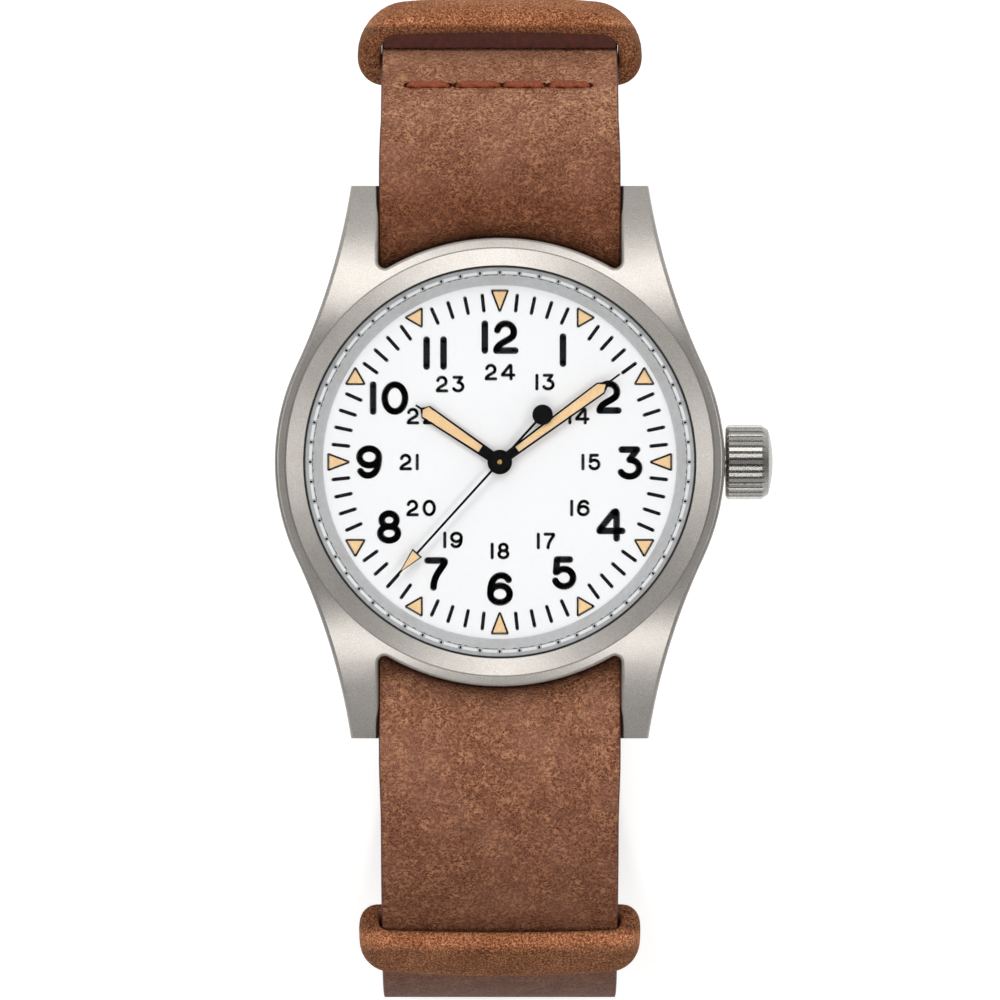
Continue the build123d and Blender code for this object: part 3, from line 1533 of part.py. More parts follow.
def build_hour_wheel():
    """The hour wheel with the tube that carries the hour hand."""
    foot = hour_wheel_level
    wheel = toothed(minute_pinion_module, hour_teeth, hour_phase, foot, foot + wheel_thick, centre)
    tube = disc(hour_tube_r - fit, foot, hour_level + hand_thick)
    return one(wheel + tube - disc(hour_tube_bore, 0, hour_level + over))


def build_setting_wheel():
    """The setting wheel, between the minute wheel and the clutch."""
    foot = minute_wheel_level
    wheel = toothed(motion_module, setting_teeth, setting_phase, foot, foot + 2 * wheel_thick, setting_at)
    return one(wheel - disc(post_r, 0, dial_foot, setting_at))


# Strap

def stitches_at(point, heading, rows_offset, width):
    """Stitches across the strap at a place on its centre line, on the face to the left of the heading."""
    centre_at = point + rows_offset * towards(heading + 90)
    first = -(stitch_count - 1) / 2 * stitch_pitch
    bars = []
    for number in range(stitch_count):
        x = first + number * stitch_pitch
        half = stitch_long / 2 - width
        start = Plane((x - half, centre_at.Y, centre_at.Z), z_dir=(1, 0, 0))
        bar = Solid.make_cylinder(width, 2 * half, start)
        for end in (x - half, x + half):
            bar = bar + Solid.make_sphere(width).moved(Location((end, centre_at.Y, centre_at.Z)))
        bars.append(one(bar))
    return bars


def seam_place():
    """The seam past the 12 o'clock bar."""
    return upper_place(seam_tilt), -seam_tilt


def buckle_seam_place():
    """The seam that closes the fold round the buckle's bar."""
    distance = path_length(upper_legs) - curl_r * radians(fold_start + fold_back / 2)
    return along(upper_legs, distance)


def build_main_strap():
    """The long strap: folded round the buckle's bar, over both spring bars, to its holed tail."""
    upper = band(upper_legs[:-1] + fold_legs, strap_thick, strap_width)
    lower = band(lower_legs, strap_thick, strap_width)
    strap = upper + lower
    tip_y = lower_legs[-1][0].Y
    floor = lower_legs[-1][0].Z - strap_thick
    start = tip_y - tip_length
    oval = extrude(Location((0, start, floor)) * Ellipse(strap_width / 2, tip_length), amount=2 * strap_thick)
    corner = block(-strap_width, strap_width, start, tip_y + over, floor, floor + 2 * strap_thick)
    strap = strap - (corner - oval)
    total = path_length(lower_legs)
    for number in range(hole_count):
        point, heading = along(lower_legs, total - first_hole - number * hole_pitch)
        drill = Plane(point - strap_thick * towards(heading + 90), z_dir=towards(heading + 90))
        strap = strap - Solid.make_cylinder(hole_r, 2 * strap_thick, drill)
    slot_start = Plane((-slot_width / 2, buckle_at.Y, buckle_at.Z), z_dir=(1, 0, 0))
    strap = strap - Solid.make_cylinder(slot_reach, slot_width, slot_start)
    for place in (seam_place(), buckle_seam_place()):
        for bar in stitches_at(place[0], place[1], strap_thick / 2, stitch_r + stitch_groove):
            strap = strap - bar
    return one(strap)


def under_legs():
    """The path of the short strap: from the seam, behind the case, to the lower keeper."""
    start = upper_hub + (upper_r - layer) * towards(90 - under_end_tilt)
    part = upper_hub + (upper_r - layer) * towards(90 - under_part_tilt)
    under_z = behind_z - layer
    top_z = part.Z + hump_r * (1 - cos(radians(under_part_tilt)))
    dip = degrees(acos(1 - (top_z - under_z) / (hump_r + dip_r)))
    hump_end = trace(part, 180 - under_part_tilt, [(hump_r, under_part_tilt + dip), (dip_r, -dip)])[-1][0]
    join_tilt = lower_keeper_tilt
    inner_r = lower_r - layer
    gap_z = lower_hub.Z + inner_r - under_z
    spread = gap_z / (1 - cos(radians(join_tilt)))
    join_r = inner_r - spread
    join_y = lower_hub.Y - spread * sin(radians(join_tilt))
    steps = [
        (upper_r - layer, under_end_tilt - under_part_tilt),
        (hump_r, under_part_tilt + dip),
        (dip_r, -dip),
        (hump_end.Y - join_y, 0),
        (join_r, join_tilt),
    ]
    return trace(start, 180 - under_end_tilt, steps)


def build_under_strap():
    """The short strap that holds the head in place on the long one."""
    strap = band(under_legs(), strap_thick, strap_width)
    towards_case = towards(lower_keeper_tilt)
    end = lower_place(lower_keeper_tilt) + keeper_band / 2 * towards_case
    beyond = Plane(end, x_dir=(1, 0, 0), z_dir=-towards_case)
    return one(strap - extrude(beyond * Rectangle(2 * strap_width, 2 * lower_r), amount=lower_r))


def build_stitches():
    """The waxed stitches of both seams."""
    bars = []
    for place in (seam_place(), buckle_seam_place()):
        bars = bars + stitches_at(place[0], place[1], strap_thick / 2, stitch_r)
    return Compound(bars)


def keeper(point, heading, wide, high, wall, back_gap, corner):
    """A leather loop round the strap; its back wall lies under the strap's inner face."""
    outer = RectangleRounded(wide, high, corner)
    inner = RectangleRounded(wide - 2 * keeper_side, high - 2 * wall, keeper_inner_corner)
    lift = high / 2 - wall - back_gap - strap_thick / 2
    middle = point + lift * towards(heading + 90)
    start = middle - keeper_band / 2 * towards(heading)
    place = Plane(start, x_dir=(1, 0, 0), z_dir=towards(heading))
    return one(extrude(place * (outer - inner), amount=keeper_band, dir=towards(heading)))


def build_upper_keeper():
    """The free keeper beside the seam."""
    point = upper_place(upper_keeper_tilt)
    return keeper(
        point,
        -upper_keeper_tilt,
        upper_keeper_wide,
        upper_keeper_high,
        upper_keeper_wall,
        keeper_back_gap,
        upper_keeper_corner,
    )


def build_lower_keeper():
    """The loop at the end of the short strap, which the long strap passes through."""
    spare = lower_keeper_high - 2 * lower_keeper_wall - strap_thick - fit
    return keeper(
        lower_place(lower_keeper_tilt),
        lower_keeper_tilt,
        lower_keeper_wide,
        lower_keeper_high,
        lower_keeper_wall,
        spare,
        lower_keeper_corner,
    )


# Buckle

def buckle_frame_place():
    """The plane of the buckle, which hangs straight down: y points down and z outwards."""
    return Plane(buckle_at, x_dir=(1, 0, 0), z_dir=towards(0))


def build_buckle_frame():
    """The buckle's frame: two eyes on the bar and a rounded bow."""
    wide = buckle_inner + 2 * buckle_side_wire
    outer = RectangleRounded(wide, 2 * buckle_reach, buckle_corner)
    inner = RectangleRounded(buckle_inner, 2 * (buckle_reach - buckle_wire), buckle_corner / 2)
    half = Location((0, buckle_reach)) * Rectangle(2 * wide, 2 * buckle_reach)
    profile = (outer - inner) & half
    frame = extrude(profile, amount=buckle_wire / 2, both=True)
    for side in (1, -1):
        start = side * buckle_inner / 2
        end = side * wide / 2
        eye_start = Plane((min(start, end), 0, 0), z_dir=(1, 0, 0))
        frame = frame + Solid.make_cylinder(buckle_bar_r + buckle_side_wire / 2, abs(end - start), eye_start)
    bore = Solid.make_cylinder(buckle_bar_r + fit, 2 * wide, Plane((-wide, 0, 0), z_dir=(1, 0, 0)))
    frame = frame - bore
    rest = tongue_width / 2 + run
    return one(frame - block(-rest, rest, 0, buckle_reach + over, tongue_rest, buckle_wire))


def build_buckle_bar():
    """The bar that the leather and the tongue turn on."""
    half = buckle_inner / 2 + buckle_side_wire
    return Solid.make_cylinder(buckle_bar_r, 2 * half, Plane((-half, 0, 0), z_dir=(1, 0, 0)))


def build_buckle_tongue():
    """The tongue: an eye round the bar and a blade that rests on the bow."""
    half = tongue_width / 2
    eye_r = buckle_bar_r + run + tongue_eye
    eye = Solid.make_cylinder(eye_r, tongue_width, Plane((-half, 0, 0), z_dir=(1, 0, 0)))
    foot = tongue_rest + fit
    blade_body = block(-half, half, 0, tongue_reach, foot, foot + tongue_thick)
    body = eye + blade_body
    bore_start = Plane((-tongue_width, 0, 0), z_dir=(1, 0, 0))
    return one(body - Solid.make_cylinder(buckle_bar_r + run, 2 * tongue_width, bore_start))


def on_buckle(shape):
    """Put a piece of the buckle, drawn flat, where the buckle hangs."""
    return buckle_frame_place() * shape


pieces = {
    "case_middle": build_case,
    "bezel": build_bezel,
    "crystal": build_crystal,
    "crystal_gasket": build_crystal_gasket,
    "dial_flange": build_flange,
    "case_back": build_case_back,
    "case_back_gasket": build_back_gasket,
    "spring_bar_12": lambda: build_spring_bar(1),
    "spring_bar_6": lambda: build_spring_bar(-1),
    "dial": build_dial,
    "hour_hand": build_hour_hand,
    "hour_hand_lume": build_hour_lume,
    "minute_hand": build_minute_hand,
    "minute_hand_lume": build_minute_lume,
    "seconds_hand": build_seconds_hand,
    "seconds_hand_lume": build_seconds_lume,
    "crown": build_crown,
    "crown_tube": build_crown_tube,
    "crown_gasket": build_crown_gasket,
    "winding_stem": build_stem,
    "winding_pinion": build_winding_pinion,
    "sliding_clutch": build_clutch,
    "crown_wheel": build_crown_wheel,
    "ratchet_wheel": build_ratchet_wheel,
    "click": build_click,
    "setting_lever": build_setting_lever,
    "yoke": build_yoke,
    "setting_wheel": build_setting_wheel,
    "main_plate": build_main_plate,
    "movement_holder": build_holder,
    "barrel_bridge": build_barrel_bridge,
    "train_bridge": build_train_bridge,
    "balance_cock": build_balance_cock,
    "pallet_bridge": build_pallet_bridge,
    "bridge_screws": build_screws,
    "jewels": build_jewels,
    "barrel": build_barrel,
    "barrel_cover": build_barrel_cover,
    "barrel_arbor": build_barrel_arbor,
    "mainspring": build_mainspring,
    "centre_wheel": build_centre_wheel,
    "third_wheel": build_third_wheel,
    "fourth_wheel": build_fourth_wheel,
    "escape_wheel": build_escape_wheel,
    "pallet_fork": build_pallet_fork,
    "pallet_stones": build_pallet_stones,
    "balance_wheel": build_balance,
    "hairspring": build_hairspring,
    "cannon_pinion": build_cannon_pinion,
    "minute_wheel": build_minute_wheel,
    "hour_wheel": build_hour_wheel,
    "main_strap": build_main_strap,
    "under_strap": build_under_strap,
    "seam_stitches": build_stitches,
    "upper_keeper": build_upper_keeper,
    "lower_keeper": build_lower_keeper,
    "buckle_frame": lambda: on_buckle(build_buckle_frame()),
    "buckle_bar": lambda: on_buckle(build_buckle_bar()),
    "buckle_tongue": lambda: on_buckle(build_buckle_tongue()),
}

os.makedirs("parts", exist_ok=True)
for name, build in pieces.items():
    shape = build().moved(Location((0, 0, head_z)))
    export_step(shape, f"parts/{name}.step")

print("head_z", head_z)
print("buckle bar at", buckle_at + Vector(0, 0, head_z), "heading", buckle_heading)
print("tail ends at", lower_legs[-1][0])
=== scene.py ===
# %% [markdown]
# # A field watch on a leather pull-through strap
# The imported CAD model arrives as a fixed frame: steel, glass, dial, hands and movement are already
# in place. What a lathe can't make is made here: leather, thread, dial printing, and every finish.

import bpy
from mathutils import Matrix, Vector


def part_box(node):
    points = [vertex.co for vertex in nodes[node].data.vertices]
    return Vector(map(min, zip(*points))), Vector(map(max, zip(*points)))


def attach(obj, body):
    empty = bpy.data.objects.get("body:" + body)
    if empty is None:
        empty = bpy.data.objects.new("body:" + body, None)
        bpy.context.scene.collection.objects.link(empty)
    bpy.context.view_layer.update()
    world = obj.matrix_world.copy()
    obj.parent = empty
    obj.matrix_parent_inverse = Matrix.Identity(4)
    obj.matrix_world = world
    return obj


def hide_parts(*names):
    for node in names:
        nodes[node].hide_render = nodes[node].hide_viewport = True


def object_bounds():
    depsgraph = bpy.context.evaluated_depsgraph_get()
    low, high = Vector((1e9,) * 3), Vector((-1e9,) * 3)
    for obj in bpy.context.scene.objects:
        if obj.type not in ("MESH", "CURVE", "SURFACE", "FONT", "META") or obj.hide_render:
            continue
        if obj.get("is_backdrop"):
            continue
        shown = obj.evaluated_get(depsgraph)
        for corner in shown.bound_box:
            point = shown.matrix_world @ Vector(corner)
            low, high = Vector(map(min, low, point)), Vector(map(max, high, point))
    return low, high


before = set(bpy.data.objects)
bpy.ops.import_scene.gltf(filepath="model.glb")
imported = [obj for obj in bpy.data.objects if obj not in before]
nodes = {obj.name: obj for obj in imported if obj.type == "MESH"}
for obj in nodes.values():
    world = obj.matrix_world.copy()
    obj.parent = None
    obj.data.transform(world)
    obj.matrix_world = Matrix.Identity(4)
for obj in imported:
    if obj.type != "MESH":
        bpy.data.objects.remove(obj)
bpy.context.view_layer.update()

# %% [markdown]
# ## Units and heights
# A watchmaker works in millimetres and measures every height of the head from the outside of the
# case back. Blender works in metres. One small function turns the first into the second, so every
# number below can be checked against a real watch with calipers.

# %% Millimetres over the case back
from math import acos, ceil, copysign, cos, degrees, pi, radians, sin, sqrt

import bmesh
import bpy
from mathutils import Vector

mm = 0.001
head_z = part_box("case_back")[0].z / mm


def at(x, y, z):
    """A place given in millimetres, its height over the outside of the case back."""
    return Vector((x, y, z + head_z)) * mm


print("the head stands", round(head_z, 2), "mm over the floor")

# %% [markdown]
# ## The camera
# The photograph looks straight down on the dial with a long lens, yet the strap shrinks a little
# towards its lower parts, so the lens can't be infinitely long. A distance of 850 mm over the head
# gives the widths measured at each height. The lens follows from the 84.75 mm that fill the picture.

# %% Camera
sight_distance = 850.0
sight_level = 6.0
picture_width = 84.75
sensor = 36.0

camera_data = bpy.data.cameras.new("long_lens")
camera_data.type = "PERSP"
camera_data.sensor_width = sensor
camera_data.lens = sensor * sight_distance / picture_width
camera_data.clip_start = 0.05
camera_data.clip_end = 20
camera = bpy.data.objects.new("camera", camera_data)
camera.location = at(0.02, -3.22, sight_level + sight_distance)
bpy.context.collection.objects.link(camera)
bpy.context.scene.camera = camera
bpy.context.scene.view_settings.view_transform = "Standard"
print("lens", round(camera_data.lens, 1), "mm")

# %% [markdown]
# ## Floor and light
# Product photographers put a watch on a pale sweep below large soft boxes. The floor here is one
# wide pale disc. The world is white to the camera and through the glass, weaker as a lamp, and dark
# in the metal except past 12 and 6 o'clock. With four square lamps, the strongest over 12, that
# gives the dull steel bright upper and lower flanks and leaves the left and right ones darker.

# %% A helper for meshes
def mesh_piece(name, points, faces, *finishes, smooth=True):
    """A new object from points in metres, faces and finishes."""
    mesh = bpy.data.meshes.new(name)
    mesh.from_pydata([tuple(p) for p in points], [], faces)
    mesh.validate()
    mesh.polygons.foreach_set("use_smooth", [smooth] * len(mesh.polygons))
    for finish in finishes:
        mesh.materials.append(finish.material)
    piece = bpy.data.objects.new(name, mesh)
    bpy.context.collection.objects.link(piece)
    return piece


# %% A helper for materials
def linear(red, green, blue):
    """A colour as it is read off a screen, 0 to 255, turned into linear light."""
    levels = [c / 255 for c in (red, green, blue)]
    return tuple(c / 12.92 if c <= 0.04045 else ((c + 0.055) / 1.055) ** 2.4 for c in levels) + (1,)


class Nodes:
    """Short calls for the nodes of one material or world."""

    def __init__(self, tree):
        self.tree = tree
        self.coordinates = self.node("ShaderNodeTexCoord").outputs
        self.place = self.coordinates["Object"]

    def feed(self, socket, value):
        """Set a socket to a value, or link it to the output of another node."""
        if isinstance(value, bpy.types.NodeSocket):
            self.tree.links.new(value, socket)
        else:
            socket.default_value = value

    def node(self, kind, sockets=None, operation=None):
        """A node of a kind, its sockets fed by name or number."""
        made = self.tree.nodes.new(kind)
        if operation:
            made.operation = operation
        for socket, value in (sockets or {}).items():
            self.feed(made.inputs[socket], value)
        return made

    def math(self, operation, first, second=0.0):
        """One step of arithmetic."""
        return self.node("ShaderNodeMath", {0: first, 1: second}, operation).outputs[0]

    def level(self, source, low, high, to_low=0.0, to_high=1.0):
        """A value stretched from one range to another."""
        ends = {"From Min": low, "From Max": high, "To Min": to_low, "To Max": to_high}
        return self.node("ShaderNodeMapRange", {"Value": source, **ends}).outputs["Result"]

    def lengthwise(self, place):
        """How far a place lies towards 12 o'clock."""
        return self.node("ShaderNodeSeparateXYZ", {"Vector": place}).outputs["Y"]


class Finish(Nodes):
    """A new material, its steady numbers, and short calls for what changes over its surface."""

    def __init__(self, name, **steady):
        self.material = bpy.data.materials.new(name)
        self.material.use_nodes = True
        super().__init__(self.material.node_tree)
        self.shader = self.tree.nodes["Principled BSDF"]
        for socket, value in steady.items():
            self.shader.inputs[socket.replace("_", " ")].default_value = value

    def scaled(self, place, sx, sy, sz):
        """A place stretched unevenly."""
        return self.node("ShaderNodeMapping", {"Scale": (sx, sy, sz), "Vector": place}).outputs["Vector"]

    def shaken(self, place, size, reach, detail):
        """A place pushed about by noise, its size and reach in millimetres."""
        noise = self.noise(size, detail, output="Color")
        push = self.node("ShaderNodeVectorMath", {0: noise, 3: reach * mm}, "SCALE")
        return self.node("ShaderNodeVectorMath", {0: place, 1: push.outputs[0]}, "ADD").outputs[0]

    def noise(self, size, detail=3.0, roughness=0.5, place=None, output="Fac"):
        """Soft noise whose blotches are about size millimetres wide."""
        sockets = {"Scale": 1 / (size * mm), "Detail": detail, "Roughness": roughness}
        return self.node("ShaderNodeTexNoise", {**sockets, "Vector": place or self.place}).outputs[output]

    def ramp(self, source, *stops):
        """A colour for each level of a value."""
        made = self.node("ShaderNodeValToRGB", {"Fac": source})
        while len(made.color_ramp.elements) < len(stops):
            made.color_ramp.elements.new(0.5)
        for element, (level, colour) in zip(made.color_ramp.elements, stops):
            element.position = level
            element.color = colour
        return made.outputs["Color"]

    def toned(self, source, *colours):
        """Screen colours spread over the middle of a noise, where most of its values lie."""
        step = 0.4 / (len(colours) - 1)
        return self.ramp(source, *[(0.3 + step * k, linear(*colour)) for k, colour in enumerate(colours)])

    def mixed(self, share, first, second, kind="MIX"):
        """Two colours mixed by a share."""
        made = self.node("ShaderNodeMix")
        made.data_type = "RGBA"
        made.blend_type = kind
        for socket, value in ((0, share), (6, first), (7, second)):
            self.feed(made.inputs[socket], value)
        return made.outputs[2]

    def clouded(self, colour, source, shade):
        """A colour with darker clouds."""
        return self.mixed(1.0, colour, self.toned(source, shade, (255, 255, 255)), "MULTIPLY")

    def surface(self, colour, dull=None, *layers):
        """Link the colour, the roughness (source, least, most) and bumps (height source, millimetres)."""
        self.feed(self.shader.inputs["Base Color"], colour)
        if dull:
            source, least, most = dull
            self.feed(self.shader.inputs["Roughness"], self.level(source, 0.3, 0.7, least, most))
        before = {}
        for source, depth in layers:
            sockets = {"Strength": 1.0, "Distance": depth * mm, "Height": source}
            bump = self.node("ShaderNodeBump", {**sockets, **before})
            before = {"Normal": bump.outputs["Normal"]}
            self.feed(self.shader.inputs["Normal"], bump.outputs["Normal"])


def grained(name, size, detail, dull, colours, depth=0.0, stretch=None, **steady):
    """A finish whose colour, dullness and relief all follow one noise."""
    made = Finish(name, **steady)
    grain = made.noise(size, detail, place=stretch and made.scaled(made.place, *stretch))
    layers = [(grain, depth)] if depth else []
    made.surface(made.toned(grain, *colours), (grain, *dull), *layers)
    return made


# %% Floor
floor_r = 3.0
floor_sides = 96
paper_glow = 0.35
paper = Finish("pale_paper", Roughness=0.9, Specular_IOR_Level=0.1)
paper.surface(paper.toned(paper.noise(40), (246, 246, 246), (250, 250, 250)))
ray = paper.node("ShaderNodeLightPath").outputs
looked_at = paper.math("MAXIMUM", ray["Is Camera Ray"], ray["Is Glossy Ray"])
looked_at = paper.math("MAXIMUM", looked_at, ray["Is Transmission Ray"])
paper.shader.inputs["Emission Color"].default_value = (1, 1, 1, 1)
paper.feed(paper.shader.inputs["Emission Strength"], paper.math("MULTIPLY", looked_at, paper_glow))

floor_points = [Vector((0, 0, 0))]
floor_faces = []
for ring_number, ring_r in enumerate((0.4, 1.2, floor_r)):
    first = 1 + ring_number * floor_sides
    below = first - floor_sides
    for side in range(floor_sides):
        turn = 2 * pi * side / floor_sides
        after = (side + 1) % floor_sides
        floor_points.append(Vector((ring_r * cos(turn), ring_r * sin(turn), 0)))
        outer = (first + side, first + after)
        floor_faces.append((below + side, *outer, below + after) if ring_number else (0, *outer))
floor = mesh_piece("pale_floor", floor_points, floor_faces, paper)
floor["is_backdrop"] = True
print("floor", floor_r, "m across its radius")

# %% World
world_lamp = 0.56
world_seen = 1.0
room_on_metal, south_on_metal, north_on_metal = 0.36, 0.85, 1.15

world = bpy.data.worlds.new("soft_box")
bpy.context.scene.world = world
world.use_nodes = True
air = Nodes(world.node_tree)
background = air.tree.nodes["Background"]
background.inputs["Color"].default_value = (1, 1, 1, 1)
ray = air.node("ShaderNodeLightPath").outputs
looked_at = air.math("MAXIMUM", ray["Is Camera Ray"], ray["Is Transmission Ray"])
northward = air.lengthwise(air.coordinates["Generated"])
end_light = air.level(northward, -0.1, 0.1, south_on_metal, north_on_metal)
on_metal = air.level(air.math("ABSOLUTE", northward), 0.1, 0.7, room_on_metal, end_light)
not_seen = air.level(ray["Is Glossy Ray"], 0.0, 1.0, world_lamp, on_metal)
air.feed(background.inputs["Strength"], air.level(looked_at, 0.0, 1.0, not_seen, world_seen))
print("world as a lamp:", world_lamp)

# %% Lamps
lamp_aim = Vector((0, 0, 0.06))


def lamp(name, place, size, power):
    """A square soft lamp at a place, turned to the head of the watch."""
    data = bpy.data.lights.new(name, "AREA")
    data.shape = "SQUARE"
    data.size = size
    data.energy = power
    piece = bpy.data.objects.new(name, data)
    piece.location = place
    piece.rotation_mode = "QUATERNION"
    piece.rotation_quaternion = (lamp_aim - Vector(place)).to_track_quat("-Z", "Y")
    bpy.context.collection.objects.link(piece)


lamp("lamp_over_12", (-0.05, 0.55, 0.95), 0.45, 2.6)
lamp("lamp_over_6", (0.0, -0.50, 0.95), 0.28, 1.5)
lamp("lamp_over_3", (0.50, 0.02, 0.95), 0.26, 1.05)
lamp("lamp_over_9", (-0.50, 0.02, 0.95), 0.26, 0.95)
print("lamps ready")

# %% [markdown]
# ## Bead-blasted steel
# A field watch isn't polished, because a flash of light would give its wearer away. Its case is
# blasted with fine glass beads, which leaves millions of tiny dents. The dents can't be modelled
# one by one, so the finish is a rough metal whose grain comes from very fine noise, in colour and
# in relief. Pale and dark grains together make the matt, slightly sparkling grey.

# %% Steel finishes
blasted_steel = Finish("blasted_steel", Metallic=1.0)
grain = blasted_steel.noise(0.07, 2.0)
clouds = blasted_steel.noise(2.5, 3.0)
grey = blasted_steel.toned(grain, (136, 132, 127), (153, 149, 144), (170, 166, 161))
blasted_steel.surface(
    blasted_steel.clouded(grey, clouds, (246, 245, 244)),
    (grain, 0.30, 0.36),
    (grain, 0.003),
    (clouds, 0.006),
)
drawn = [(158, 156, 152), (196, 194, 190)]
plain_steel = grained("plain_steel", 0.2, 2.0, (0.25, 0.4), drawn, 0.004, (0.08, 1, 1), Metallic=1.0)
fluted = [(132, 130, 126), (158, 156, 152)]
crown_steel = grained("crown_steel", 0.12, 2.0, (0.22, 0.3), fluted, 0.006, Metallic=1.0)


def dress(finish, *names):
    """Give CAD nodes a finish, in every material slot of each."""
    for name in names:
        for slot in nodes[name].material_slots:
            slot.material = finish.material
    print(finish.material.name, "on", ", ".join(names))


dress(blasted_steel, "case_middle", "bezel", "case_back", "buckle_frame")
dress(crown_steel, "crown", "crown_tube")
dress(plain_steel, "spring_bar_12", "spring_bar_6", "winding_stem", "buckle_bar", "buckle_tongue")

# %% [markdown]
# ## Glass, seals and the ring under the glass
# The crystal is a clear dome with a bevelled edge. Real glass also bends the light that falls on
# the dial, which would need a very long render, so most of the surface here lets light straight
# through and only a share of it acts as glass. The seals are soft black rubber and pale plastic.

# %% Glass and seals
glass = Finish("clear_crystal", Roughness=0.01, Transmission_Weight=1.0, IOR=1.5, Alpha=0.07)
glass.surface(glass.ramp(glass.noise(6), (0.3, (0.98, 0.99, 1.0, 1)), (0.7, (1, 1, 1, 1))))
glass.material.surface_render_method = "BLENDED"
rubber = grained("black_rubber", 0.3, 3.0, (0.6, 0.8), [(24, 24, 25), (40, 40, 41)], Specular_IOR_Level=0.3)
pale_plastic = grained("pale_plastic", 1.5, 2.0, (0.4, 0.55), [(206, 206, 203), (222, 222, 219)])
turned = [(188, 189, 190), (202, 203, 204)]
grey_ring = grained("grey_ring", 0.5, 3.0, (0.35, 0.5), turned, Specular_IOR_Level=0.4)

dress(glass, "crystal")
dress(rubber, "case_back_gasket", "crown_gasket", "crystal_gasket")
dress(pale_plastic, "movement_holder")
dress(grey_ring, "dial_flange")

# %% [markdown]
# ## The movement
# Behind the steel back sit nickel-plated bridges, gilt brass wheels, polished steel pinions and
# ruby bearings. Nobody sees them in the photograph, but the piece may be opened up later, so each
# metal gets its own finish: a grain stretched one way on brass, a frosted surface on nickel.

# %% Movement finishes
frost = [(176, 172, 162), (206, 202, 193)]
nickel = grained("frosted_nickel", 0.15, 2.0, (0.3, 0.42), frost, 0.005, Metallic=1.0)
gold = [(196, 158, 88), (226, 190, 120)]
gilt = grained("gilt_brass", 0.12, 2.0, (0.24, 0.36), gold, 0.0, (1, 0.15, 1), Metallic=1.0)
polished = grained("polished_steel", 0.6, 2.0, (0.12, 0.22), [(176, 178, 182), (196, 198, 202)], Metallic=1.0)
ruby = Finish("ruby", Roughness=0.06, IOR=1.76)
ruby.surface(ruby.toned(ruby.noise(0.3, 2.0), (150, 12, 44), (178, 20, 58)))

dress(nickel, "main_plate", "barrel_bridge", "train_bridge", "balance_cock", "pallet_bridge")
dress(
    gilt, "centre_wheel", "third_wheel", "fourth_wheel", "minute_wheel", "hour_wheel", "barrel",
    "barrel_cover", "balance_wheel",
)
dress(
    polished, "bridge_screws", "cannon_pinion", "setting_wheel", "escape_wheel", "mainspring",
    "ratchet_wheel", "barrel_arbor", "crown_wheel", "click", "winding_pinion", "sliding_clutch",
    "setting_lever", "yoke", "pallet_fork", "hairspring",
)
dress(ruby, "jewels", "pallet_stones")

# %% [markdown]
# ## Dial, print and luminous filling
# The dial is a brass disc sprayed matt white. Its numerals are pad printed: a thick black ink that
# stands a few hundredths of a millimetre proud. The hour marks and the hands are filled with a
# cream paste that glows in the dark, a little grainy because it is mostly coarse powder.

# %% Dial finishes
spray = [(243, 244, 245), (246, 246, 247)]
dial_white = grained("dial_white", 0.25, 2.0, (0.5, 0.62), spray, 0.002, Specular_IOR_Level=0.25)
blacks = [(22, 24, 27), (30, 32, 35)]
ink = grained("black_ink", 0.1, 2.0, (0.4, 0.55), blacks, 0.003, Specular_IOR_Level=0.03)
lacquer = [(9, 10, 11), (14, 15, 16)]
hand_black = grained("hand_black", 0.2, 2.0, (0.3, 0.45), lacquer, Specular_IOR_Level=0.04)
paste = Finish("luminous_paste", Specular_IOR_Level=0.2)
powder = paste.noise(0.12, 3.0)
cream = paste.toned(powder, (238, 200, 150), (252, 218, 170))
paste.surface(
    paste.clouded(cream, paste.noise(1.2, 2.0), (244, 240, 236)),
    (powder, 0.7, 0.85),
    (powder, 0.01),
)

dress(dial_white, "dial")
dress(hand_black, "hour_hand", "minute_hand", "seconds_hand")
dress(paste, "hour_hand_lume", "minute_hand_lume", "seconds_hand_lume")

# %% [markdown]
# ## Digits as strokes
# Dial numerals of this kind are drawn with a round pen: every digit is a path of even width with
# round ends. So each digit here is a list of points for the pen's middle, built from lines, arcs
# and curves in a box one unit high. The same digits serve the large hours and the small ones.

# %% Digit paths
def arc(x, y, rx, ry, start, end, count=20):
    """Points along part of an ellipse, its angles in degrees."""
    turns = [radians(start + (end - start) * k / count) for k in range(count + 1)]
    return [(x + rx * cos(t), y + ry * sin(t)) for t in turns]


def curve(a, b, c, d, count=14):
    """Points along a cubic curve."""
    steps = [k / count for k in range(count + 1)]
    shares = [((1 - t) ** 3, 3 * (1 - t) ** 2 * t, 3 * (1 - t) * t * t, t ** 3) for t in steps]
    return [tuple(sum(s * p[i] for s, p in zip(share, (a, b, c, d))) for i in (0, 1)) for share in shares]


